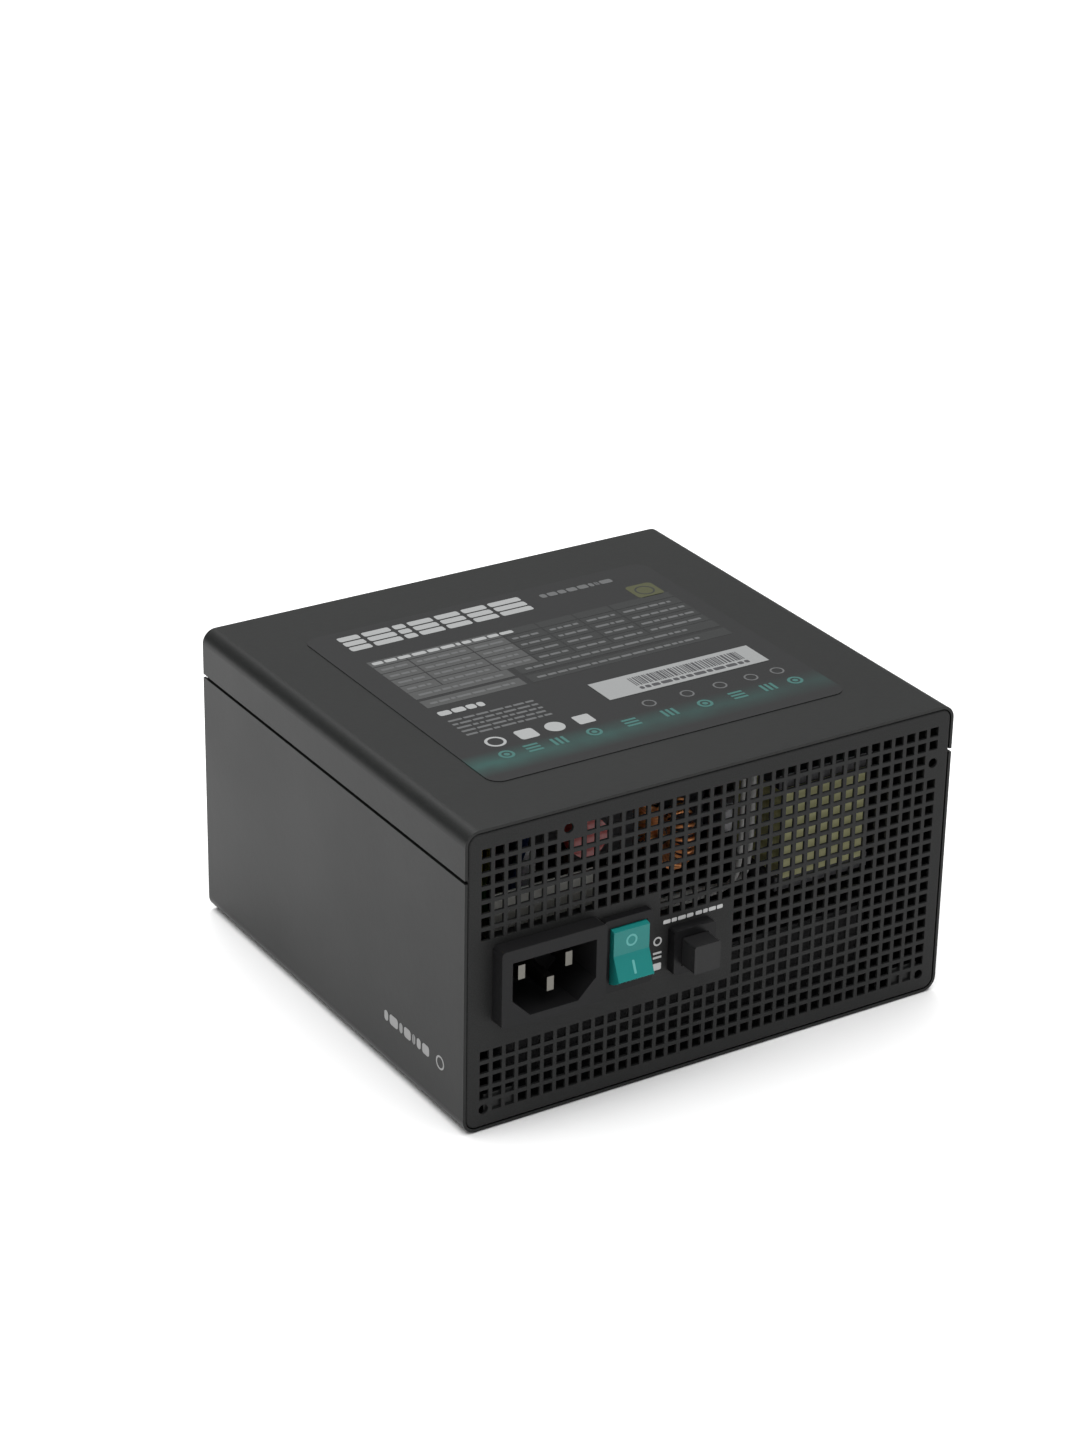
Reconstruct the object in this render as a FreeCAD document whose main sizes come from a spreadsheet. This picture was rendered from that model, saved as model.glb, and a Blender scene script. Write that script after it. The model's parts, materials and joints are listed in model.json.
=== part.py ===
import FreeCAD, Part
import math
import os
import re

import Sketcher
from FreeCAD import Placement, Rotation, Vector

# ATX power supply, modelled in millimetres. The origin is the centre of the base face. -Y is the
# rear face with the mains inlet, +Y the face with the output sockets, +Z the labelled side.

SIZES = {
    # case
    "case_width": 150,
    "case_depth": 140,
    "case_height": 86,
    "sheet": 0.8,
    "bend_radius": 4,
    "panel_gap": 0.2,
    "panel_edge_radius": 0.6,
    "seam_drop": 13,
    "seam_gap": 1,
    "lip_height": 8,
    "fit": 0.1,
    "weld_lip": 4,
    "bracket_leg": 9,
    "bracket_inset": 64,
    # rear grille and fixing holes
    "hole_side": 2.7,
    "hole_pitch": 3.825,
    "hole_columns": 37,
    "hole_rows": 20,
    "grille_low": 6.4,
    "fixing_hole_radius": 1.4,
    "fixing_side": 69,
    "fixing_low": 6,
    "fixing_high": 70,
    "fixing_top": 80,
    "fixing_top_side": 45,
    # mains inlet
    "inlet_across": 51.3,
    "inlet_height": 41.7,
    "inlet_raise": 4.7,
    "inlet_rim": 1.7,
    "inlet_rim_tall": 1.2,
    "inlet_wall": 1.4,
    "inlet_wall_tall": 1,
    "inlet_body_deep": 14.5,
    "socket_width": 24.8,
    "socket_tall": 16.2,
    "socket_drop": 0.7,
    "socket_corner": 5.3,
    "socket_deep": 16,
    "blade_thick": 2,
    "blade_tall": 4,
    "blade_spacing": 14,
    "blade_offset": 2,
    "blade_recess": 4.5,
    "earth_recess": 2,
    "blade_tail": 7,
    # rocker switch
    "rocker_across": 27.5,
    "rocker_height": 41,
    "bezel_rim": 1,
    "bezel_rim_tall": 1.2,
    "bezel_raise": 2,
    "rocker_wall": 0.85,
    "rocker_wall_tall": 1.1,
    "rocker_body_deep": 14,
    "rocker_width": 10.8,
    "rocker_radius": 8,
    "rocker_side_gap": 0.25,
    "rocker_swing_gap": 0.2,
    "rocker_pivot_depth": 0.6,
    "rocker_rise": 2.9,
    "rocker_back": 4.4,
    "rocker_throw": 24,
    "pivot_pin_radius": 1.2,
    "pivot_fit": 0.05,
    "terminal_width": 4.8,
    "terminal_thick": 0.8,
    "terminal_spacing": 10,
    "terminal_tail": 8,
    # mode switch
    "mode_across": 7.6,
    "mode_height": 37,
    "mode_rim": 0.9,
    "mode_raise": 3.1,
    "mode_wall": 1.4,
    "mode_body_deep": 10,
    "mode_cap": 8,
    "mode_cap_fit": 0.1,
    "mode_cap_raise": 8.9,
    "mode_cap_deep": 4,
    "mode_stroke": 3,
    "mode_floor": 1.2,
    "mode_pin_tail": 4,
    "mode_stem_radius": 1.5,
    "spring_radius": 2.6,
    "spring_wire": 0.3,
    "spring_turns": 4,
    # labels
    "label_width": 110,
    "label_depth": 100,
    "label_thick": 0.2,
    "label_corner": 4,
    "label_rear_margin": 20,
    "serial_width": 51,
    "serial_depth": 11,
    "serial_thick": 0.12,
    "serial_across": 22.5,
    "serial_rear_margin": 46.5,
    # fan
    "fan_side": 120,
    "fan_deep": 25,
    "fan_corner": 6,
    "fan_hole_spacing": 105,
    "fan_hole_radius": 2.2,
    "duct_radius": 58,
    "intake_radius": 57,
    "grille_slot": 4,
    "grille_web": 1.6,
    "grille_centre": 15,
    "spoke_width": 3,
    "motor_plate_radius": 20,
    "motor_plate_thick": 2.5,
    "strut_width": 4,
    "hub_radius": 19.5,
    "hub_wall": 1.5,
    "hub_height": 18,
    "hub_start": 3,
    "blade_reach": 56.4,
    "blade_sheet": 1.6,
    "blade_pitch": 34,
    "blade_count": 9,
    "blade_span": 15,
    "shaft_radius": 1.5,
    "shaft_fit": 0.05,
    "bearing_radius": 3.6,
    "bearing_wall": 1.4,
    "stator_radius": 14.6,
    "stator_height": 9,
    "magnet_thick": 1.8,
    "magnet_height": 12,
    "screw_head_radius": 3.4,
    "screw_radius": 1.9,
    "screw_length": 9,
    # boards
    "board_drop": 6,
    "board_thick": 1.6,
    "board_side_gap": 5,
    "board_rear_gap": 6,
    "board_front_gap": 16,
    "standoff_radius": 2.8,
    "standoff_edge": 6,
    "standoff_end": 9,
    "insulator_thick": 0.4,
    "shield_rear_gap": 8,
    "shield_side": 11,
    "shield_width": 30,
    "shield_tall": 10.5,
    "modular_side_gap": 7,
    "modular_low_gap": 4.4,
    "modular_top_gap": 2.6,
    # filter choke
    "choke_rear_gap": 15,
    "choke_drop": 13.5,
    "choke_ring_radius": 8,
    "choke_core_radius": 2.8,
    "choke_turn_radius": 3.8,
    "choke_turn_gap": 0.3,
    "choke_turn_length": 2,
    # wires
    "mains_wire_radius": 1.2,
    "signal_wire_radius": 0.8,
    # output sockets
    "pin_pitch": 4.2,
    "cell_side": 3.6,
    "socket_shell": 1.2,
    "socket_length": 11.4,
    "socket_floor": 2.4,
    "upper_sockets": 61,
    "lower_sockets": 42,
    "pin_side": 1.07,
    "row_start": 66,
    "row_gap": 4.5,
}

document = FreeCAD.newDocument("power_supply")
sheet = document.addObject("Spreadsheet::Sheet", "Sizes")
for row, (alias, value) in enumerate(SIZES.items(), start=1):
    sheet.set("A%d" % row, alias)
    sheet.set("B%d" % row, str(value))
    sheet.setAlias("B%d" % row, alias)
document.recompute()

# The faces of the case, as sums of sheet values.
LEFT = "-case_width / 2"
RIGHT = "case_width / 2"
REAR = "-case_depth / 2"
FRONT = "case_depth / 2"

# Sizes that follow from others.
INLET_BODY_WIDTH = "(socket_width + 2 * inlet_wall)"
INLET_BODY_TALL = "(socket_tall + 2 * socket_drop + 2 * inlet_wall_tall)"
INLET_WIDTH = "(socket_width + 2 * inlet_wall + 2 * inlet_rim)"
INLET_TALL = "(socket_tall + 2 * socket_drop + 2 * inlet_wall_tall + 2 * inlet_rim_tall)"
ROCKER_HOLLOW_WIDTH = "(rocker_width + 2 * rocker_side_gap)"
ROCKER_HOLLOW_TALL = "(2 * rocker_radius + 2 * rocker_swing_gap)"
ROCKER_BODY_WIDTH = "(rocker_width + 2 * rocker_side_gap + 2 * rocker_wall)"
ROCKER_BODY_TALL = "(2 * rocker_radius + 2 * rocker_swing_gap + 2 * rocker_wall_tall)"
BEZEL_WIDTH = "(rocker_width + 2 * rocker_side_gap + 2 * rocker_wall + 2 * bezel_rim)"
BEZEL_TALL = ("(2 * rocker_radius + 2 * rocker_swing_gap + 2 * rocker_wall_tall"
              " + 2 * bezel_rim_tall)")
MODE_BODY = "(mode_cap + 2 * mode_cap_fit + 2 * mode_wall)"
MODE_BEZEL = "(mode_cap + 2 * mode_cap_fit + 2 * mode_wall + 2 * mode_rim)"

TURN = {
    "x": Rotation(Vector(0, 1, 0), 90),
    "y": Rotation(Vector(1, 0, 0), -90),
    "z": Rotation(),
}
PLANES = {"x": "YZ_Plane", "y": "XZ_Plane", "z": "XY_Plane"}
UNIT = {"x": Vector(1, 0, 0), "y": Vector(0, 1, 0), "z": Vector(0, 0, 1)}

nodes = []


def size(alias):
    """The number in a cell of the sheet."""
    return float(sheet.get(alias))


def value(text):
    """The number that a formula comes to."""
    return float(document.Sizes.evalExpression(formula(text)))


def formula(text):
    """An expression that reads the sheet, from a sum of size names and numbers."""
    def cell(word):
        return "Sizes." + word.group() if word.group() in SIZES else word.group()
    return re.sub("[a-z][a-z_]+", cell, str(text))


def bind(item, prop, text):
    item.setExpression(prop, formula(text))


def add(kind, name):
    return document.addObject(kind, name)


def node(name, solid):
    """Mark a finished solid as a sub-part. Its Label names its file."""
    solid.Label = name
    nodes.append(solid)
    return solid


# Primitives and booleans

def place(solid, corner, along="z"):
    solid.Placement = Placement(Vector(), TURN[along])
    for axis, text in zip("xyz", corner):
        bind(solid, "Placement.Base." + axis, text)
    return solid


def block(name, corner, sides):
    """A box from its lowest corner and its three sides."""
    solid = add("Part::Box", name)
    for prop, text in zip(("Length", "Width", "Height"), sides):
        bind(solid, prop, text)
    return place(solid, corner)


def centred_block(name, across, start, up, sides):
    """A box centred on X and Z, from a starting Y."""
    corner = ["%s - (%s) / 2" % (across, sides[0]), start, "%s - (%s) / 2" % (up, sides[2])]
    return block(name, corner, sides)


def rod(name, start, radius, length, along="z"):
    solid = add("Part::Cylinder", name)
    bind(solid, "Radius", radius)
    bind(solid, "Height", length)
    return place(solid, start, along)


def cone(name, start, first_radius, last_radius, length):
    solid = add("Part::Cone", name)
    bind(solid, "Radius1", first_radius)
    bind(solid, "Radius2", last_radius)
    bind(solid, "Height", length)
    return place(solid, start)


def joined(name, solids):
    if len(solids) == 1:
        return solids[0]
    result = add("Part::MultiFuse", name)
    result.Shapes = solids
    return result


def without(name, base, tools):
    result = add("Part::Cut", name)
    result.Base = base
    result.Tool = joined(name + "_tools", tools)
    return result


def common(name, first, second):
    result = add("Part::Common", name)
    result.Base = first
    result.Tool = second
    return result


def together(name, solids):
    """Loose solids of one kind, kept side by side in one sub-part."""
    result = add("Part::Compound", name)
    result.Links = solids
    return result


def ring(name, start, outer, inner, length, along="z"):
    outside = rod(name + "_outside", start, outer, length, along)
    inside = rod(name + "_inside", start, inner, length, along)
    return without(name, outside, [inside])


# Sketched bodies

def sketch_on(body, name, along, start):
    """A sketch square to an axis, at a place on it. The normal of XZ_Plane is -Y."""
    sketch = body.newObject("Sketcher::SketchObject", name)
    plane = [item for item in body.Origin.OriginFeatures if item.Role == PLANES[along]][0]
    sketch.AttachmentSupport = [(plane, "")]
    sketch.MapMode = "FlatFace"
    sign = "-" if along == "y" else ""
    bind(sketch, "AttachmentOffset.Base.z", "%s(%s)" % (sign, start))
    return sketch


def hold(sketch, geometry, point, place_texts):
    """Hold one point of a sketch at a place that the sheet gives."""
    for kind, text in zip(("DistanceX", "DistanceY"), place_texts):
        index = sketch.addConstraint(Sketcher.Constraint(kind, -1, 1, geometry, point, 1.0))
        bind(sketch, "Constraints[%d]" % index, text)


def draw_outline(sketch, corners):
    """A closed outline of straight lines through the given corners."""
    count = len(corners)
    first = sketch.GeometryCount
    start = [
        Vector(math.cos(turn), math.sin(turn), 0)
        for turn in (2 * math.pi * index / count for index in range(count))
    ]
    for index in range(count):
        line = Part.LineSegment(start[index], start[(index + 1) % count])
        sketch.addGeometry(line, False)
    for index in range(count):
        following = first + (index + 1) % count
        sketch.addConstraint(Sketcher.Constraint("Coincident", first + index, 2, following, 1))
    for index, corner in enumerate(corners):
        hold(sketch, first + index, 1, corner)


def draw_rectangle(sketch, left, low, right, high):
    draw_outline(sketch, [(left, low), (right, low), (right, high), (left, high)])


def centred(across, up, width, tall):
    """The four sides of a rectangle about a centre."""
    return [
        "%s - (%s) / 2" % (across, width),
        "%s - (%s) / 2" % (up, tall),
        "%s + (%s) / 2" % (across, width),
        "%s + (%s) / 2" % (up, tall),
    ]


def pad(body, name, along, start, length, draw, *args):
    sketch = sketch_on(body, name + "_sketch", along, start)
    draw(sketch, *args)
    feature = body.newObject("PartDesign::Pad", name)
    feature.Profile = sketch
    feature.Reversed = along == "y"
    bind(feature, "Length", length)
    return feature


def pocket(body, name, along, start, length, draw, *args):
    sketch = sketch_on(body, name + "_sketch", along, start)
    draw(sketch, *args)
    feature = body.newObject("PartDesign::Pocket", name)
    feature.Profile = sketch
    feature.Reversed = along != "y"
    bind(feature, "Length", length)
    return feature


def round_edges(body, name, radius, chosen):
    """Round the edges of a body's last feature that the test picks."""
    document.recompute()
    base = body.Tip
    edges = [
        "Edge%d" % number
        for number, edge in enumerate(base.Shape.Edges, start=1)
        if chosen(edge)
    ]
    feature = body.newObject("PartDesign::Fillet", name)
    feature.Base = (base, edges)
    bind(feature, "Radius", radius)
    return feature


def parallel(along):
    def test(edge):
        if not isinstance(edge.Curve, Part.Line):
            return False
        return abs(edge.Curve.Direction.dot(UNIT[along])) > 0.999
    return test


def prism(name, along, start, length, sides):
    body = add("PartDesign::Body", name)
    pad(body, name + "_pad", along, start, length, draw_rectangle, *sides)
    return body


def rounded_prism(name, along, start, length, sides, radius):
    body = prism(name, along, start, length, sides)
    round_edges(body, name + "_rounding", radius, parallel(along))
    return body


# Case

def case_sleeve():
    """The four folded walls as one sleeve, which the seam then divides."""
    outer = rounded_prism("sleeve_outer", "y", REAR, "case_depth",
                          [LEFT, "0", RIGHT, "case_height"], "bend_radius")
    inner_sides = [LEFT + " + sheet", "sheet", RIGHT + " - sheet", "case_height - sheet"]
    inner = rounded_prism("sleeve_inner", "y", REAR + " - 1", "case_depth + 2",
                          inner_sides, "bend_radius - sheet")
    return without("sleeve", outer, [inner])


def label_panel(sleeve):
    """The labelled side with its folded flanges and the lips that the end panels are welded to."""
    above = block("above_seam", [LEFT + " - 1", REAR + " - 1", "case_height - seam_drop"],
                  ["case_width + 2", "case_depth + 2", "case_height"])
    pieces = [common("label_panel_sheet", sleeve, above)]
    lip_low = "case_height - sheet - weld_lip"
    rear_lips = [
        ("-fixing_top_side + 6", "fixing_side - 8"),
        (LEFT + " + bend_radius + 4", "-fixing_top_side - 6"),
    ]
    for number, (start, end) in enumerate(rear_lips, start=1):
        pieces.append(block("rear_lip_%d" % number, [start, REAR + " + sheet", lip_low],
                            ["(%s) - (%s)" % (end, start), "sheet", "weld_lip"]))
    pieces.append(block("front_lip", ["-fixing_side + 8", FRONT + " - 2 * sheet", lip_low],
                        ["2 * fixing_side - 16", "sheet", "weld_lip"]))
    node("label_panel", joined("label_panel", pieces))


def screw_places(reach_x, reach_y):
    """The four corners about the Z axis, as signed texts."""
    for sign_x in ("-", ""):
        for sign_y in ("-", ""):
            yield sign_x + reach_x, sign_y + reach_y


def countersinks(name, places, grow):
    """Cones for flat screw heads that finish level with the base face."""
    slope = "(screw_head_radius - screw_radius)"
    return [
        cone("%s_%d" % (name, number), [across, forward, "-(%s)" % grow],
             "screw_head_radius + 2 * (%s)" % grow, "screw_radius + (%s)" % grow,
             slope + " + (%s)" % grow)
        for number, (across, forward) in enumerate(places, start=1)
    ]


def shanks(name, places, radius, length):
    return [
        rod("%s_%d" % (name, number), [across, forward, "0"], radius, length)
        for number, (across, forward) in enumerate(places, start=1)
    ]


FAN_CORNERS = list(screw_places("fan_hole_spacing / 2", "fan_hole_spacing / 2"))
COVER_CORNERS = list(screw_places("bracket_inset", "(case_depth / 2 - sheet - bracket_leg / 2)"))


def fan_cover(sleeve):
    """The base with the fan opening and both long sides, whose joggled lips go behind the seam."""
    below = block("below_seam", [LEFT + " - 1", REAR + " - 1", "-1"],
                  ["case_width + 2", "case_depth + 2", "case_height - seam_drop - seam_gap + 1"])
    pieces = [common("fan_cover_sheet", sleeve, below)]
    top = "case_height - seam_drop - seam_gap"
    lip_start = REAR + " + 2 * sheet + fit"
    lip_length = "case_depth - 4 * sheet - 2 * fit"
    for side, sign in (("left", "-"), ("right", "")):
        middle = "%s(case_width / 2 - sheet - (sheet + fit) / 2)" % sign
        pieces.append(block("%s_joggle" % side,
                            ["%s - (sheet + fit) / 2" % middle, lip_start, top + " - 3"],
                            ["sheet + fit", lip_length, "3"]))
        middle = "%s(case_width / 2 - 1.5 * sheet - fit)" % sign
        pieces.append(block("%s_lip" % side,
                            ["%s - sheet / 2" % middle, lip_start, top],
                            ["sheet", lip_length, "lip_height"]))
    openings = [rod("intake", ["0", "0", "-1"], "intake_radius", "sheet + 2")]
    openings += countersinks("cover_sink", FAN_CORNERS + COVER_CORNERS, "fit")
    openings += shanks("cover_hole", FAN_CORNERS + COVER_CORNERS, "screw_radius + fit", "sheet + 1")
    node("fan_cover", without("fan_cover", joined("fan_cover_blank", pieces), openings))


def rectangle_wire(across, up, width, tall):
    corners = [(-1, -1), (-1, 1), (1, 1), (1, -1), (-1, -1)]
    points = [Vector(across + dx * width / 2, 0, up + dz * tall / 2) for dx, dz in corners]
    return Part.makePolygon(points)


def fixing_places():
    """The four fixing holes of the rear face, as (across, up)."""
    side = size("fixing_side")
    return [
        (-side, size("fixing_low")),
        (side, size("fixing_low")),
        (side, size("fixing_high")),
        (-size("fixing_top_side"), size("fixing_top")),
    ]


def switch_openings():
    """The three rectangular openings of the rear panel, as (across, up, width, tall)."""
    fit = size("fit")
    return [
        (-size("inlet_across"), size("inlet_height"),
         value(INLET_BODY_WIDTH) + 2 * fit, value(INLET_BODY_TALL) + 2 * fit),
        (-size("rocker_across"), size("rocker_height"),
         value(ROCKER_BODY_WIDTH) + 2 * fit, value(ROCKER_BODY_TALL) + 2 * fit),
        (-size("mode_across"), size("mode_height"),
         value(MODE_BODY) + 2 * fit, value(MODE_BODY) + 2 * fit),
    ]


def blank_areas():
    """Where the grille is left plain, around the inlet and switches, as (left, right, low, high)."""
    pitch = size("hole_pitch")
    inlet_right = -size("rocker_across") + value(BEZEL_WIDTH) / 2
    mode_right = -size("mode_across") + value(MODE_BEZEL) / 2
    low = size("inlet_height") - value(INLET_TALL) / 2 - 2 * pitch
    left = -size("case_width") / 2
    inlet_high = size("inlet_height") + value(INLET_TALL) / 2 + 0.6 * pitch
    mode_high = size("mode_height") + value(MODE_BEZEL) / 2 + 1.2 * pitch
    return [
        (left, inlet_right + 0.8 * pitch, low, inlet_high),
        (left, mode_right + 2.2 * pitch, low, mode_high),
    ]


def grille_places():
    """The centres of the grille's square holes that the plain areas and fixing holes leave."""
    pitch = size("hole_pitch")
    columns = int(size("hole_columns"))
    keep_off = size("fixing_hole_radius") + size("hole_side") / 2
    for row in range(int(size("hole_rows"))):
        up = size("grille_low") + row * pitch
        for column in range(columns):
            across = (column - (columns - 1) / 2) * pitch
            if any(left < across < right and low < up < high
                   for left, right, low, high in blank_areas()):
                continue
            if any(math.hypot(across - x, up - z) < keep_off + 1 for x, z in fixing_places()):
                continue
            yield across, up


def panel_outline():
    """The rounded outline that fits inside the sleeve."""
    edge = size("sheet") + size("panel_gap")
    half = size("case_width") / 2 - edge
    low = edge
    high = size("case_height") - edge
    radius = size("bend_radius") - edge
    slack = radius * (1 - math.sqrt(0.5))
    corners = [(half, low), (half, high), (-half, high), (-half, low)]
    edges = []
    count = len(corners)
    for index, (x, z) in enumerate(corners):
        sign_x = math.copysign(1, x)
        sign_z = 1 if z == high else -1
        upright = Vector(x, 0, z - sign_z * radius)
        level = Vector(x - sign_x * radius, 0, z)
        first, last = (level, upright) if index % 2 == 0 else (upright, level)
        middle = Vector(x - sign_x * slack, 0, z - sign_z * slack)
        edges.append((first, middle, last))
    outline = []
    for index, (first, middle, last) in enumerate(edges):
        outline.append(Part.Arc(first, middle, last).toShape())
        outline.append(Part.LineSegment(last, edges[(index + 1) % count][0]).toShape())
    return Part.Wire(outline)


def outer_edges(plate, outward):
    """The edges of the outline on the panel's outer face, which is the one at that Y."""
    outline = panel_outline()
    outline.translate(Vector(0, outward, 0))
    places = [edge.CenterOfMass for edge in outline.Edges]
    return [
        edge for edge in plate.Edges
        if any(edge.CenterOfMass.distanceToPoint(place) < 0.001 for place in places)
    ]


def panel(name, holes, start, outward):
    """A flat end panel with its openings as inner wires of one face."""
    face = Part.Face([panel_outline()] + holes)
    solid = add("Part::Feature", name)
    plate = face.extrude(Vector(0, size("sheet"), 0))
    solid.Shape = plate.makeFillet(size("panel_edge_radius"), outer_edges(plate, outward))
    solid.Placement = Placement(Vector(0, start, 0), Rotation())
    node(name, solid)


def rear_panel():
    """The perforated rear panel. Its 600 holes are wires of one face, because a pattern or
    boolean of that many holes takes minutes."""
    holes = [rectangle_wire(x, z, size("hole_side"), size("hole_side")) for x, z in grille_places()]
    holes += [rectangle_wire(*opening) for opening in switch_openings()]
    for across, up in fixing_places():
        circle = Part.makeCircle(size("fixing_hole_radius"), Vector(across, 0, up),
                                 Vector(0, 1, 0))
        holes.append(Part.Wire(circle))
    panel("rear_panel", holes, -size("case_depth") / 2, 0)


def front_panel():
    """The panel that the output sockets look through."""
    fit = 2 * size("fit")
    shell = 2 * size("socket_shell")
    pitch = size("pin_pitch")
    openings = [
        rectangle_wire(value(across), size(row), columns * pitch + shell + fit,
                       2 * pitch + shell + fit)
        for name, across, row, columns in socket_places()
    ]
    panel("front_panel", openings, size("case_depth") / 2 - size("sheet"), size("sheet"))


def corner_brackets():
    """The four angles that join the end panels to the base and take its screws."""
    leg = "bracket_leg"
    brackets = []
    for number, (across, forward) in enumerate(COVER_CORNERS, start=1):
        sign = "-" if forward.startswith("-") else ""
        name = "bracket_%d" % number
        corner = [across + " - bracket_leg / 2", forward + " - bracket_leg / 2", "sheet"]
        foot = block(name + "_foot", corner, [leg, leg, "sheet"])
        wall = "%s(case_depth / 2 - 1.5 * sheet) - sheet / 2" % sign
        back = block(name + "_back", [corner[0], wall, "sheet"], [leg, "sheet", leg])
        hole = rod(name + "_hole", [across, forward, "0"], "screw_radius + fit", leg)
        sink = countersinks(name + "_sink", [(across, forward)], "fit")
        brackets.append(without(name, joined(name + "_angle", [foot, back]), [hole] + sink))
    node("corner_brackets", together("corner_brackets", brackets))


def flat_screws(name, places, length):
    slope = "screw_head_radius - screw_radius"
    screws = []
    heads = countersinks(name + "_head", places, "0")
    stems = shanks(name + "_stem", places, "screw_radius", length)
    for number, (head, stem, (across, forward)) in enumerate(zip(heads, stems, places), start=1):
        first = block("%s_slot_%d" % (name, number), [across + " - 1.7", forward + " - 0.4", "-1"],
                      ["3.4", "0.8", "1.7"])
        second = block("%s_cross_%d" % (name, number), [across + " - 0.4", forward + " - 1.7", "-1"],
                       ["0.8", "3.4", "1.7"])
        body = joined("%s_body_%d" % (name, number), [head, stem])
        screws.append(without("%s_%d" % (name, number), body, [first, second]))
    node(name, together(name, screws))


def labels():
    middle = REAR + " + label_rear_margin + label_depth / 2"
    rating = rounded_prism("rating_label", "z", "case_height", "label_thick",
                           centred("0", middle, "label_width", "label_depth"), "label_corner")
    node("rating_label", rating)
    serial = prism("serial_label", "z", "case_height + label_thick", "serial_thick",
                   centred("serial_across", REAR + " + serial_rear_margin + serial_depth / 2",
                           "serial_width", "serial_depth"))
    node("serial_label", serial)


# Fan

FAN_BASE = "2 * sheet"
PLATE_LOW = "(2 * sheet + fan_deep - motor_plate_thick)"
HUB_BASE = "(2 * sheet + hub_start)"


def spokes(name, count, width, start, tall, reach):
    """Bars through the Z axis, evenly turned."""
    bars = []
    for number in range(count):
        bar = block("%s_%d" % (name, number), ["0", "0", start], [reach, width, tall])
        turn = Rotation(UNIT["z"], 360 / count * number + 45)
        bar.Placement = Placement(Vector(), turn)
        bind(bar, "Placement.Base.z", start)
        bars.append(bar)
    return bars


def fan_grille():
    """The stamped plate of ring slots between the base and the fan."""
    plate = rounded_prism("grille_plate", "z", "sheet", "sheet",
                          centred("0", "0", "fan_side", "fan_side"), "fan_corner")
    slots = []
    for number in range(int((size("intake_radius") - size("grille_centre"))
                            / (size("grille_slot") + size("grille_web")))):
        inner = "grille_centre + %d * (grille_slot + grille_web)" % number
        slots.append(ring("slot_%d" % number, ["0", "0", "0"], inner + " + grille_slot", inner,
                          "3 * sheet"))
    bars = joined("grille_spokes", spokes("grille_spoke", 4, "spoke_width", "-1", "5 * sheet + 2",
                                          "fan_side"))
    gaps = without("grille_gaps", joined("grille_rings", slots), [bars])
    tools = [gaps]
    tools += countersinks("grille_sink", FAN_CORNERS, "fit")
    tools += shanks("grille_hole", FAN_CORNERS, "screw_radius + fit", "3 * sheet")
    node("fan_grille", without("fan_grille", plate, tools))


def fan_frame():
    frame = rounded_prism("frame_block", "z", FAN_BASE, "fan_deep",
                          centred("0", "0", "fan_side", "fan_side"), "fan_corner")
    tools = [rod("duct", ["0", "0", "0"], "duct_radius", "fan_deep + 5 * sheet")]
    tools += shanks("frame_hole", FAN_CORNERS, "fan_hole_radius", "fan_deep + 5 * sheet")
    duct = without("frame_duct", frame, tools)
    plate = rod("motor_plate", ["0", "0", PLATE_LOW], "motor_plate_radius", "motor_plate_thick")
    struts = spokes("strut", 4, "strut_width", PLATE_LOW, "motor_plate_thick", "duct_radius + 1")
    tube = rod("bearing_tube", ["0", "0", HUB_BASE + " + hub_wall + 1"],
               "bearing_radius + bearing_wall", "%s - %s - hub_wall - 1" % (PLATE_LOW, HUB_BASE))
    body = joined("frame_body", [duct, plate, tube] + struts)
    bore = rod("frame_bore", ["0", "0", "0"], "bearing_radius", PLATE_LOW)
    node("fan_frame", without("fan_frame", body, [bore]))


def fan_rotor():
    cup = rod("hub_cup", ["0", "0", HUB_BASE], "hub_radius", "hub_height")
    hollow = rod("hub_hollow", ["0", "0", HUB_BASE + " + hub_wall"],
                 "hub_radius - hub_wall", "hub_height")
    bore = rod("hub_bore", ["0", "0", "0"], "shaft_radius", "fan_deep")
    hub = without("hub", cup, [hollow, bore])
    band = ring("blade_band", ["0", "0", HUB_BASE + " + 1"], "blade_reach", "hub_radius - 0.5",
                "hub_height - 2")
    blades = []
    count = int(size("blade_count"))
    for number in range(count):
        blade = block("blade_%d" % number, ["0", "0", HUB_BASE + " + hub_height / 2"],
                      ["blade_reach + 5", "blade_sheet", "2 * blade_span"])
        tilt = Rotation(UNIT["x"], 90 - size("blade_pitch"))
        turn = Rotation(UNIT["z"], 360 / count * number).multiply(tilt)
        offset = turn.multVec(Vector(0, 0, -size("blade_span")))
        blade.Placement = Placement(offset, turn)
        bind(blade, "Placement.Base.z", "%s + hub_height / 2 + (%.4f)" % (HUB_BASE, offset.z))
        blades.append(blade)
    cut_blades = common("blade_ring", joined("blades", blades), band)
    node("fan_rotor", joined("fan_rotor", [hub, cut_blades]))


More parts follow.
